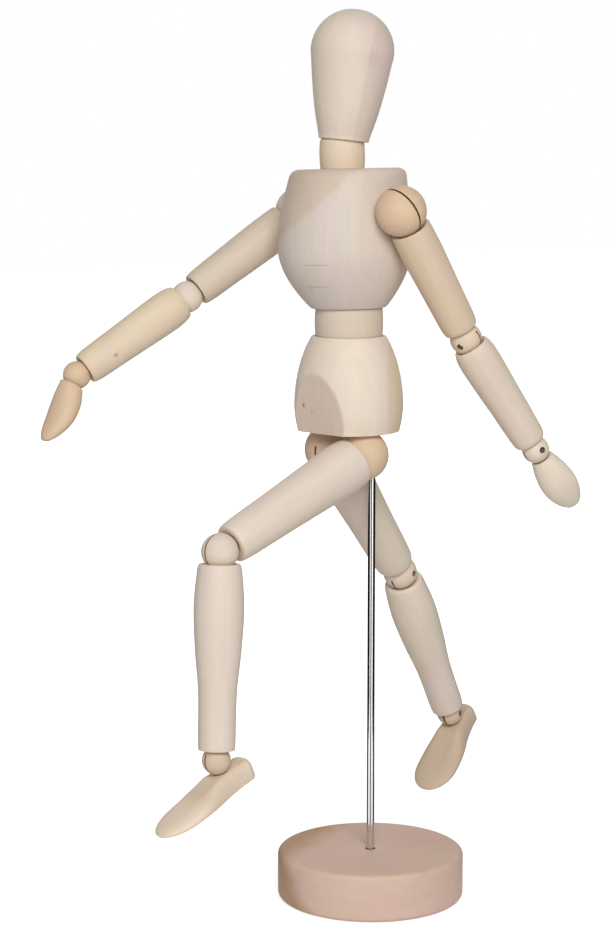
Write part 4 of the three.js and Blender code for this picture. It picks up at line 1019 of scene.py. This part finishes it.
def pelvis_grid(gap, hip_ball):
    """Turned body whose radius is held back by a sloping front plane. The waist cup is turned into its
    top, and two shallow hip cups rise from its underside as caps of the hip balls' spheres."""
    waist_bowl, waist_circle = cup_size(WAIST_RADIUS, WAIST_HALF_GAP, gap)
    cup = bowl(waist_bowl, PELVIS_HEIGHT + WAIST_HALF_GAP, AXIS_HOLE, waist_circle, -1.0, steps=20)
    upper = belly(PELVIS_BELLY_RADIUS, PELVIS_BELLY_HEIGHT, PELVIS_TOP_RADIUS, PELVIS_HEIGHT, steps=70)[::-1]
    lower = belly(PELVIS_BELLY_RADIUS, PELVIS_BELLY_HEIGHT, PELVIS_BOTTOM_RADIUS, PELVIS_EDGE, steps=24)
    rim = np.array([PELVIS_TOP_RADIUS, PELVIS_HEIGHT])
    under_start = np.array([PELVIS_BOTTOM_RADIUS - PELVIS_EDGE, 0.0])
    edge = corner(lower[-2], (lower[-1][0], 0.0), under_start, PELVIS_EDGE)
    under = line(under_start, (UNDER_HOLE, 0.0), steps=64)[1:]
    rounding = np.vstack([corner(cup[-2], cup[-1], rim, CUP_ROUND, steps=3),
                          corner(cup[-1], rim, upper[3], PELVIS_RIM_ROUND)])
    profile = np.vstack([cup[:-1], rounding, upper[2:], lower[1:-1], edge, under])
    angle = round_angles(TRUNK_SIDES)
    radius, height = profile[:, :1], profile[:, 1:]
    slope = (BEVEL_TOP_REACH - BEVEL_BOTTOM_REACH) / BEVEL_TOP_HEIGHT
    facing = np.maximum(-np.sin(angle - math.radians(BEVEL_TURN)), LEAST_FACING)
    held = (BEVEL_BOTTOM_REACH + slope * height) / facing
    outer = len(profile) - len(under)
    under_edge = soft_least(np.full_like(angle, under_start[0]), held[outer - 1], BEVEL_EASE)
    out = soft_least(np.repeat(radius, TRUNK_SIDES, axis=1), held, BEVEL_EASE)
    turned_rows = len(cup) + 3
    out[:turned_rows] = radius[:turned_rows]
    out[outer:] = radius[outer:] / under_start[0] * under_edge
    x, y = out * np.cos(angle), out * np.sin(angle)
    z = np.repeat(height, TRUNK_SIDES, axis=1)
    hip_bowl = hip_ball + gap
    for side in (-1, 1):
        apart = (x - side * HIP_HALF_SPACING) ** 2 + (y + HIP_FORWARD) ** 2
        dome = np.sqrt(np.maximum(hip_bowl ** 2 - apart, 0)) - HIP_DROP
        z = np.maximum(z, np.where(height < LEVEL, dome, 0.0))
    return np.stack([x, y, z], axis=2)


def chest_grid(gap, shoulder_ball):
    """Stack of ovals, a little fuller in front, that swells from the waist rim and eases to a rounded
    top. Cups are turned in for the waist and the neck, and each ring is cut short where it would enter
    a shoulder ball's sphere."""
    waist_bowl, waist_circle = cup_size(WAIST_RADIUS, WAIST_HALF_GAP, gap)
    neck_bowl, neck_circle = cup_size(NECK_RADIUS, NECK_HALF_GAP, gap)
    waist_cup = bowl(waist_bowl, -WAIST_HALF_GAP, AXIS_HOLE, waist_circle, 1.0, steps=20)
    share = np.linspace(0, 1, 48)[:, None]
    rise = np.sin(share * np.pi / 2) ** CHEST_RISE_POWER
    lower = np.hstack([between(CHEST_FOOT_RADIUS, CHEST_RADIUS, rise), share * CHEST_SWELL_HEIGHT])
    shoulder = CHEST_HEIGHT - CHEST_CORNER_ROUND
    eased = CHEST_RADIUS + share ** CHEST_EASE_POWER * (CHEST_TOP_RADIUS - CHEST_RADIUS)
    upper = np.hstack([eased, CHEST_SWELL_HEIGHT + share * (shoulder - CHEST_SWELL_HEIGHT)])
    quarter = np.linspace(0, np.pi / 2, 12)[1:]
    rounding = np.column_stack([CHEST_TOP_RADIUS - CHEST_CORNER_ROUND * (1 - np.cos(quarter)),
                                shoulder + CHEST_CORNER_ROUND * np.sin(quarter)])
    foot = corner(waist_cup[-1], lower[0], lower[3], CHEST_FOOT_ROUND)
    outside = np.vstack([foot, lower[2:], upper[1:], rounding])

    angle = round_angles(TRUNK_SIDES)
    radius, height = outside[:, :1], outside[:, 1:]
    part = height / CHEST_HEIGHT
    fullness = CHEST_FULLNESS * np.sin(np.pi * np.clip(part, 0, 1))
    forward = fullness - CHEST_TOP_BACK * part ** 2
    across, deep = radius * np.cos(angle), (radius + fullness) * np.sin(angle)
    length = np.hypot(across, deep)
    kept = length
    ball = shoulder_ball + gap
    for side in (-1, 1):
        to_x, to_y = side * SHOULDER_HALF_SPACING, SHOULDER_BACK + forward
        nearest = (across * to_x + deep * to_y) / length
        miss = to_x ** 2 + to_y ** 2 - nearest ** 2 + (height - SHOULDER_HEIGHT) ** 2
        half_chord = np.sqrt(np.maximum(ball ** 2 - miss, 0))
        meets = (miss < ball ** 2) & (nearest > 0)
        kept = soft_least(kept, np.where(meets, nearest - half_chord, FAR_OUT), SHOULDER_EASE)
    scale = kept / length
    skin = np.stack([across * scale, deep * scale - forward, np.repeat(height, TRUNK_SIDES, axis=1)], axis=2)

    top_edge = skin[-1]
    ring = np.stack([neck_circle * np.cos(angle), neck_circle * np.sin(angle) - NECK_FORWARD,
                     np.full_like(angle, CHEST_HEIGHT)], axis=1)
    blend = np.linspace(0, 1, 26)[1:, None, None]
    top = between(top_edge, ring, blend)
    neck_profile = bowl(neck_bowl, CHEST_HEIGHT + NECK_HALF_GAP, neck_circle, AXIS_HOLE, -1.0, steps=16)[1:]
    neck_cup = turned(neck_profile, TRUNK_SIDES) - (0.0, NECK_FORWARD, 0.0)
    return np.concatenate([turned(waist_cup, TRUNK_SIDES), skin, top, neck_cup])


def head_profile(gap):
    """Drop shape: a cup for the neck, a side that widens upwards with a slight swell, and a round crown."""
    neck_bowl, neck_circle = cup_size(NECK_RADIUS, NECK_HALF_GAP, gap)
    cup = bowl(neck_bowl, 0.0, AXIS_HOLE, neck_circle, 1.0, steps=16)
    share = np.array(HEAD_SIDE_SHARES)
    bulge = HEAD_BULGE * np.sin(share * np.pi)
    side = np.column_stack([between(HEAD_BOTTOM_RADIUS, HEAD_CROWN_RADIUS, share) + bulge,
                            NECK_HALF_GAP + share * HEAD_CROWN_HEIGHT])
    side[0, 0] = HEAD_BOTTOM_RADIUS
    angle = np.radians([0, 15, 30, 45, 60, 75])
    crown_height = NECK_HALF_GAP + HEAD_CROWN_HEIGHT
    crown = HEAD_CROWN_RADIUS * np.column_stack([np.cos(angle), np.sin(angle)]) + (0, crown_height)
    tip = np.array([[POINT, crown_height + HEAD_CROWN_RADIUS]])
    skin = spline(np.vstack([side, crown, tip]), steps=10)
    rim = (HEAD_BOTTOM_RADIUS, NECK_HALF_GAP)
    foot = corner((neck_circle, NECK_HALF_GAP), rim, skin[0], HEAD_EDGE, steps=8)
    return np.vstack([cup, foot, skin[:-1]])


def hand_grid(gap, wrist_ball, rim_round):
    """Flat almond: oval rings whose width and thickness follow a smooth outline to the finger tip,
    with the middle bowed to one side, and the wrist ball's cup in its upper end."""
    rim = HAND_RIM_SHARE * wrist_ball
    rim_width = rim_radius(wrist_ball, gap, rim) + RIM_LIP
    share, width, thickness = np.array(HAND_OUTLINE).T
    stations = np.column_stack([
        between(rim, HAND_LENGTH, share), width * HAND_HALF_WIDTH, thickness * HAND_HALF_THICKNESS,
        HAND_CURL * np.sin(np.pi * share)])
    start = np.array([[rim, rim_width, rim_width, 0.0]])
    tip_width, tip_thickness = HAND_TIP_SHARES
    near_tip = np.array([[HAND_LENGTH - HAND_TIP_LENGTH, tip_width * HAND_HALF_WIDTH,
                          tip_thickness * HAND_HALF_THICKNESS, HAND_TIP_BOW]])
    tip = np.array([[HAND_LENGTH, POINT, POINT, 0.0]])
    skin = spline(np.vstack([start, stations, near_tip, tip]), steps=12)
    lip, cup = cup_mouth(wrist_ball, gap, rim, rim_width)
    cup = np.vstack([(CUP_FLOOR, wrist_ball + gap), cup[::-1]])
    mouth = np.vstack([cup, corner(cup[-1], (lip, rim), (rim_width, rim), CUP_ROUND, steps=3),
                       corner((lip, rim), (rim_width, rim), (skin[3, 1], skin[3, 0]), rim_round)])
    mouth = np.column_stack([mouth[:, 1], mouth[:, 0], mouth[:, 0], np.zeros(len(mouth))])
    rows = np.vstack([mouth, skin[2:-1]])
    angle = round_angles(LIMB_SIDES)
    along, wide, thick, bow = (rows[:, i:i + 1] for i in range(4))
    along = np.repeat(-along, LIMB_SIDES, axis=1)
    return np.stack([wide * np.cos(angle), thick * np.sin(angle) + bow, along], axis=2)


def side_curve(start, end, steps):
    """Cubic curve that leaves and arrives along Y, with both control points half way between its ends."""
    t = np.linspace(0, 1, steps)[:, None]
    start, end = np.asarray(start, float), np.asarray(end, float)
    middle = (start[1] + end[1]) / 2
    first, second = np.array([start[0], middle]), np.array([end[0], middle])
    leaving = (1 - t) ** 3 * start + 3 * t * (1 - t) ** 2 * first
    return leaving + 3 * t ** 2 * (1 - t) * second + t ** 3 * end


def foot_outline(count):
    """Plan of the sole, evenly spaced: a round heel, a wider round toe, towards -Y, and smooth sides."""
    heel_y, toe_y = FOOT_HEEL_REACH - FOOT_HEEL_ROUND, -FOOT_TOE_SWELL
    angle = np.linspace(0, np.pi, 60)
    toe = np.column_stack([FOOT_TOE_HALF_WIDTH * np.cos(angle),
                           toe_y - (FOOT_TOE_REACH - FOOT_TOE_SWELL) * np.sin(angle)])
    heel = np.column_stack([-FOOT_HEEL_HALF_WIDTH * np.cos(angle), heel_y + FOOT_HEEL_ROUND * np.sin(angle)])
    right_side = side_curve(toe[-1], heel[0], steps=40)[1:-1]
    left_side = side_curve(heel[-1], toe[0], steps=40)[1:]
    plan = np.vstack([toe, right_side, heel, left_side])
    run = np.concatenate([[0], np.cumsum(np.hypot(*np.diff(plan, axis=0).T))])
    at = np.linspace(0, run[-1], count, endpoint=False)
    return np.column_stack([np.interp(at, run, plan[:, 0]), np.interp(at, run, plan[:, 1])])


def foot_top(y):
    """Height of the foot's upper side above the sole at a place along it: level round the ankle, then
    a curve down to the thin toe, and a short one down to the heel."""
    toe = curve_through((BALL_RADII["ankle"], FOOT_THICKNESS), (FOOT_INSTEP_REACH, FOOT_INSTEP_THICKNESS),
                        (FOOT_TOE_REACH, FOOT_TOE_THICKNESS), steps=40)
    heel_end = -FOOT_HEEL_REACH
    heel = curve_through((heel_end - 1, FOOT_THICKNESS - FOOT_HEEL_EDGE), (heel_end, FOOT_THICKNESS),
                         (heel_end + FOOT_HEEL_EDGE, FOOT_THICKNESS), steps=20)
    side = np.vstack([heel, toe])
    return np.interp(-y, side[:, 0], side[:, 1])


def foot_grid(gap, ankle_ball):
    """Slab on the plan's outline: a top that falls away to the toe and rolls over into the sides, the
    wider the nearer the toe, a crisp cut across the heel, an eased sole, and the ankle ball's cup."""
    count = 2 * LIMB_SIDES
    plan = foot_outline(count)
    ahead = np.roll(plan, -1, axis=0) - np.roll(plan, 1, axis=0)
    inward = np.column_stack([ahead[:, 1], -ahead[:, 0]]) / np.hypot(*ahead.T)[:, None]
    inward = inward * np.sign((inward * -plan).sum())
    sole = -FOOT_SOLE_DROP
    top_height = foot_top(plan[:, 1])
    forward = np.clip(-plan[:, 1] / FOOT_TOE_SWELL, 0, 1)
    dome = between(FOOT_ANKLE_DOME, FOOT_TOE_DOME, forward ** 2 * (3 - 2 * forward))
    backward = np.clip(-inward[:, 1], 0, 1) * (plan[:, 1] > 0)
    upper_round = between(dome, FOOT_HEEL_EDGE, backward)[:, None]
    upper_drop = between(FOOT_DOME_DROP, FOOT_HEEL_DROP, backward)[:, None]
    lower_round = np.minimum(FOOT_LOWER_ROUND, (1 - FOOT_DOME_DROP) * top_height)[:, None]

    def upper_ring(angle):
        spots = plan + inward * upper_round * (1 - np.sin(angle))
        return np.hstack([spots, sole + foot_top(spots[:, 1:]) * (1 - upper_drop * (1 - np.cos(angle)))])

    def lower_ring(angle):
        spots = plan + inward * lower_round * (1 - np.cos(angle))
        return np.hstack([spots, sole + lower_round * (1 - np.sin(angle))])

    quarter = np.linspace(0, np.pi / 2, 12)
    upper = [upper_ring(angle) for angle in quarter]
    lower = [lower_ring(angle) for angle in quarter]
    wall = [between(upper[-1], lower[0], share) for share in FOOT_WALL_SHARES]

    bowl_radius = ankle_ball + gap
    seat = FOOT_SOLE_DROP - FOOT_THICKNESS
    circle = math.sqrt(bowl_radius ** 2 - seat ** 2)
    direction = np.arctan2(plan[:, 1], plan[:, 0])
    cup = bowl(bowl_radius, 0.0, CUP_FLOOR, circle, -1.0, steps=10)
    cup_rows = np.stack([cup[:, :1] * np.cos(direction), cup[:, :1] * np.sin(direction),
                         np.repeat(cup[:, 1:], count, axis=1)], axis=2)
    blend = np.linspace(0, 1, 30)[1:-1, None, None]
    top = between(cup_rows[-1], upper[0], blend)
    top[:, :, 2] = sole + foot_top(top[:, :, 1])
    shrink = np.linspace(1, FOOT_SOLE_SHARE, 16)[1:, None, None]
    under = lower[-1] * shrink
    under[:, :, 2] = sole
    return np.concatenate([cup_rows, top, np.stack(upper), np.stack(wall), np.stack(lower), under])


# Operators, one for each piece or group of like pieces


class MakeStand(bpy.types.Operator):
    """Turn the round base and draw the steel rod"""

    bl_idname = "mannequin.make_stand"
    bl_label = "Stand"

    def execute(self, context):
        sizes = context.scene.mannequin_sizes
        rod = sizes.rod_radius / MM
        hole = rod + ROD_HOLE_GAP
        height = sizes.base_height / MM
        profile = base_profile(sizes.base_radius / MM, height, sizes.base_round / MM, hole)
        # The rod's hole takes the saw cut colour: raw drilled wood, with painted shade inside the hole
        cut = (profile[:, :1] < hole + HOLE_MARGIN) * 1.0
        turn = math.radians(BASE_GRAIN_TURN)
        along = np.array([math.cos(turn), math.sin(turn), 0.0])
        lying = axes(np.array([0.0, 0.0, 1.0]), along)
        base = make_piece("turned_base", turned(profile, BASE_SIDES), STAND_PLACE,
                          wood("base", LOG_CUTS["base"]), cut, grain=lying)
        dress(base, "stand", "base")
        low = height - ROD_BASE_DEPTH + ROD_FLOOR_GAP
        bar = turned(rod_profile(rod, low, height + ROD_EXPOSED + ROD_PELVIS_DEPTH), ROD_SIDES)
        dress(make_piece("steel_rod", bar, STAND_PLACE, drawn_steel()), "stand", "support_rod")
        return {"FINISHED"}


class MakeTrunk(bpy.types.Operator):
    """Turn the pelvis, the chest and the barrels of the waist and neck"""

    bl_idname = "mannequin.make_trunk"
    bl_label = "Trunk"

    def execute(self, context):
        gap = context.scene.mannequin_sizes.cup_gap / MM
        waist = turned(barrel_profile(WAIST_RADIUS, WAIST_HALF_GAP), BARREL_SIDES)
        neck = turned(barrel_profile(NECK_RADIUS, NECK_HALF_GAP), BARREL_SIDES)
        pieces = (
            ("pelvis", "pelvis", pelvis_grid(gap, BALL_RADII["hip"]), pelvis_place()),
            ("chest", "chest", chest_grid(gap, BALL_RADII["shoulder"]), chest_place()),
            ("waist", "waist_barrel", waist, pinned_place("waist_turn", "waist_bend", "waist_turn")),
            ("neck", "neck_barrel", neck, pinned_place("neck_turn", "neck_nod", "neck_turn")),
        )
        for name, node, grid, place in pieces:
            piece = make_piece(f"turned_{name}", grid, place, wood(name, LOG_CUTS[name]))
            dress(piece, name, node)
        return {"FINISHED"}


class MakeHead(bpy.types.Operator):
    """Turn the head"""

    bl_idname = "mannequin.make_head"
    bl_label = "Head"

    def execute(self, context):
        gap = context.scene.mannequin_sizes.cup_gap / MM
        head = make_piece("turned_head", turned(head_profile(gap), BARREL_SIDES), head_place(),
                          wood("head", LOG_CUTS["head"]))
        dress(head, "head", "head")
        return {"FINISHED"}


class MakeBalls(bpy.types.Operator):
    """Turn the limb balls, with their saw cuts and pin holes"""

    bl_idname = "mannequin.make_balls"
    bl_label = "Limb balls"

    def execute(self, context):
        sizes = context.scene.mannequin_sizes
        slit_half = sizes.slit_width / MM / 2
        number = FIRST_BALL_CUT
        for side in SIDES:
            for joint, radius in BALL_RADII.items():
                name = f"{side}_{joint}"
                open_ends = (PIN_FROM[side][joint] > 0, PIN_FROM[side][joint] < 0)
                grid, cut = ball_grid(radius, slit_half, sizes.pin_hole_radius / MM,
                                      sizes.pin_hole_depth / MM, open_ends)
                ball = make_piece(f"turned_{name}_ball", grid, ball_place(name),
                                  wood(f"{name}_ball", number), cut)
                dress(ball, name, f"{name}_ball")
                number += 1
        return {"FINISHED"}


class MakeLimbs(bpy.types.Operator):
    """Turn the upper arms, forearms, thighs and shins"""

    bl_idname = "mannequin.make_limbs"
    bl_label = "Limbs"

    def execute(self, context):
        sizes = context.scene.mannequin_sizes
        gap = sizes.cup_gap / MM
        number = FIRST_LIMB_CUT
        for side in SIDES:
            for limb, (upper, lower, length, *_) in LIMBS.items():
                name = f"{side}_{limb}"
                profile = limb_profile(limb_stations(limb, gap), length, BALL_RADII[upper],
                                       BALL_RADII[lower], gap, sizes.rim_round / MM)
                place = limb_place(f"{side}_{upper}", f"{side}_{lower}")
                piece = make_piece(f"turned_{name}", turned(profile, LIMB_SIDES), place, wood(name, number),
                                   limb_bore_and_shade(profile), loop=True)
                dress(piece, name, name)
                number += 1
        return {"FINISHED"}


class MakeHandsAndFeet(bpy.types.Operator):
    """Shape the almond hands and saw the feet"""

    bl_idname = "mannequin.make_hands_and_feet"
    bl_label = "Hands and feet"

    def execute(self, context):
        sizes = context.scene.mannequin_sizes
        gap = sizes.cup_gap / MM
        along_foot = np.array([[1.0, 0.0, 0.0], [0.0, 0.0, 1.0], [0.0, -1.0, 0.0]])
        hand_points = hand_grid(gap, BALL_RADII["wrist"], sizes.rim_round / MM)
        foot_points = foot_grid(gap, BALL_RADII["ankle"])
        for number, side in enumerate(SIDES):
            place = end_place(f"{side}_wrist", HAND_SWING[side], HAND_ROLL[side])
            hand = make_piece(f"carved_{side}_hand", hand_points, place,
                              wood(f"{side}_hand", FIRST_HAND_CUT + number))
            dress(hand, f"{side}_hand", f"{side}_hand")
            place = end_place(f"{side}_ankle", FOOT_SWING[side])
            foot = make_piece(f"sawn_{side}_foot", foot_points, place,
                              wood(f"{side}_foot", FIRST_FOOT_CUT + number), grain=along_foot)
            dress(foot, f"{side}_foot", f"{side}_foot")
        return {"FINISHED"}


class FinishWires(bpy.types.Operator):
    """Give the pins, springs, eyes and the hip yoke their drawn steel"""

    bl_idname = "mannequin.finish_wires"
    bl_label = "Wires"

    def execute(self, context):
        steel = bpy.data.materials["drawn_steel"]
        for name, node in frame["nodes"].items():
            if name.endswith(("_pin", "_spring", "_eye", "_yoke")):
                node.data.materials.clear()
                node.data.materials.append(steel)
        return {"FINISHED"}


class MakeStage(bpy.types.Operator):
    """Set the floor, the lights, the white background and the camera"""

    bl_idname = "mannequin.make_stage"
    bl_label = "Stage"

    def execute(self, context):
        settings = context.scene.mannequin_stage
        scene = context.scene
        scene.view_settings.view_transform = "Standard"
        self.make_floor(scene, settings)
        self.make_flags(scene)
        self.make_world(scene, settings)
        self.make_lights(scene, settings)
        data = bpy.data.cameras.new("camera")
        data.sensor_fit = "VERTICAL"
        data.sensor_height = SENSOR_HEIGHT
        data.lens = FOCAL_PIXELS / IMAGE_HEIGHT * SENSOR_HEIGHT
        camera = bpy.data.objects.new("camera", data)
        camera.location = CAMERA_PLACE
        camera.rotation_euler = (math.radians(CAMERA_TILT), 0, math.radians(CAMERA_HEADING))
        scene.collection.objects.link(camera)
        scene.camera = camera
        return {"FINISHED"}

    def seen_directly(self, w):
        """Share of a ray that shows the background itself: camera, glossy and transmission rays."""
        path = w.node("ShaderNodeLightPath").outputs
        seen = w.math("MAXIMUM", path["Is Camera Ray"], path["Is Glossy Ray"])
        return w.math("MAXIMUM", seen, path["Is Transmission Ray"])

    def make_floor(self, scene, settings):
        half = FLOOR_HALF
        mesh = bpy.data.meshes.new("floor")
        corners = [(-half, -half, 0), (half, -half, 0), (half, half, 0), (-half, half, 0)]
        mesh.from_pydata(corners, [], [(0, 1, 2, 3)])
        floor = bpy.data.objects.new("floor", mesh)
        scene.collection.objects.link(floor)
        material, w, shader = new_material("white_floor")
        shader.inputs["Base Color"].default_value = with_alpha(settings.floor)
        shader.inputs["Roughness"].default_value = FLOOR_ROUGHNESS
        shader.inputs["Specular IOR Level"].default_value = 0.0
        shader.inputs["Emission Color"].default_value = WHITE
        away = w.vector("LENGTH", w.node("ShaderNodeTexCoord").outputs["Object"], output="Value")
        rise = w.times(w.step(away, FLOOR_GLOW_FROM, FLOOR_GLOW_TO), FLOOR_GLOW_RISE)
        glow = w.plus(FLOOR_NEAR_GLOW, rise)
        w.feed(shader.inputs["Emission Strength"], w.times(self.seen_directly(w), glow))
        material.cycles.emission_sampling = "NONE"
        mesh.materials.append(material)

    def make_flags(self, scene):
        """Dark cards round the stand, parts of a cylinder's wall, that only glossy rays see."""
        material, _, shader = new_material("dark_card")
        shader.inputs["Base Color"].default_value = FLAG_COLOUR
        shader.inputs["Roughness"].default_value = 1.0
        shader.inputs["Specular IOR Level"].default_value = 0.0
        for number, (start, end, distance, height) in enumerate(FLAGS):
            angle = np.radians(VIEW_AZIMUTH + np.linspace(start, end, FLAG_STEPS))
            ring = distance * np.column_stack([np.sin(angle), -np.cos(angle), np.zeros(FLAG_STEPS)])
            first = np.arange(FLAG_STEPS - 1)
            faces = np.column_stack([first, first + 1, first + FLAG_STEPS + 1, first + FLAG_STEPS])
            mesh = bpy.data.meshes.new(f"dark_card_{number}")
            mesh.from_pydata(np.vstack([ring, ring + (0, 0, height)]).tolist(), [], faces.tolist())
            mesh.materials.append(material)
            card = bpy.data.objects.new(f"dark_card_{number}", mesh)
            for ray in ("camera", "diffuse", "shadow", "transmission"):
                setattr(card, f"visible_{ray}", False)
            scene.collection.objects.link(card)

    def make_world(self, scene, settings):
        world = bpy.data.worlds.new("studio")
        world.use_nodes = True
        w = Wiring(world.node_tree)
        background = world.node_tree.nodes["Background"]
        background.inputs["Color"].default_value = WHITE
        seen = self.seen_directly(w)
        lit = w.times(w.minus(1.0, seen), settings.sky)
        w.feed(background.inputs["Strength"], w.plus(seen, lit))
        world.cycles.sampling_method = "NONE"
        scene.world = world

    def make_lights(self, scene, settings):
        for name, (round_from_view, elevation, distance, size) in LAMPS.items():
            heading = math.radians(VIEW_AZIMUTH + round_from_view)
            rise = math.radians(elevation)
            level = math.cos(rise)
            back = np.array([math.sin(heading) * level, -math.cos(heading) * level, math.sin(rise)])
            data = bpy.data.lights.new(name, "AREA")
            data.shape = "DISK"
            data.size = size
            data.energy = getattr(settings, f"{name}_power")
            lamp = bpy.data.objects.new(name, data)
            lamp.location = back * distance + LAMP_TARGET
            lamp.rotation_euler = (math.radians(90 - elevation), 0, heading)
            lamp.visible_glossy = name != "back"
            scene.collection.objects.link(lamp)


class MannequinPanel(bpy.types.Panel):
    """Sizes, finishes and pieces of the mannequin"""

    bl_idname = "VIEW3D_PT_mannequin"
    bl_label = "Mannequin"
    bl_space_type = "VIEW_3D"
    bl_region_type = "UI"
    bl_category = "Mannequin"

    def draw(self, context):
        for name in SETTINGS:
            group = getattr(context.scene, name)
            column = self.layout.column()
            for key in group.__annotations__:
                column.prop(group, key)
        for operator in OPERATORS:
            self.layout.operator(operator.bl_idname)


OPERATORS = (MakeStage, MakeStand, MakeTrunk, MakeHead, MakeBalls, MakeLimbs, MakeHandsAndFeet, FinishWires)
SETTINGS = {
    "mannequin_sizes": MannequinSizes,
    "mannequin_finish": MannequinFinish,
    "mannequin_stage": MannequinStage,
}


def register():
    for settings in SETTINGS.values():
        bpy.utils.register_class(settings)
    for name, settings in SETTINGS.items():
        setattr(bpy.types.Scene, name, bpy.props.PointerProperty(type=settings))
    for operator in OPERATORS:
        bpy.utils.register_class(operator)
    bpy.utils.register_class(MannequinPanel)


def unregister():
    bpy.utils.unregister_class(MannequinPanel)
    for operator in reversed(OPERATORS):
        bpy.utils.unregister_class(operator)
    for name, settings in SETTINGS.items():
        delattr(bpy.types.Scene, name)
        bpy.utils.unregister_class(settings)


def main():
    """Builds the wood's shader groups and every piece."""
    register()
    wood_grain_group()
    heart_and_shade_group()
    mark_group()
    bpy.ops.mannequin.make_stage()
    bpy.ops.mannequin.make_stand()
    bpy.ops.mannequin.make_trunk()
    bpy.ops.mannequin.make_head()
    bpy.ops.mannequin.make_balls()
    bpy.ops.mannequin.make_limbs()
    bpy.ops.mannequin.make_hands_and_feet()
    bpy.ops.mannequin.finish_wires()
    bpy.context.view_layer.update()


if __name__ == "__main__":
    main()
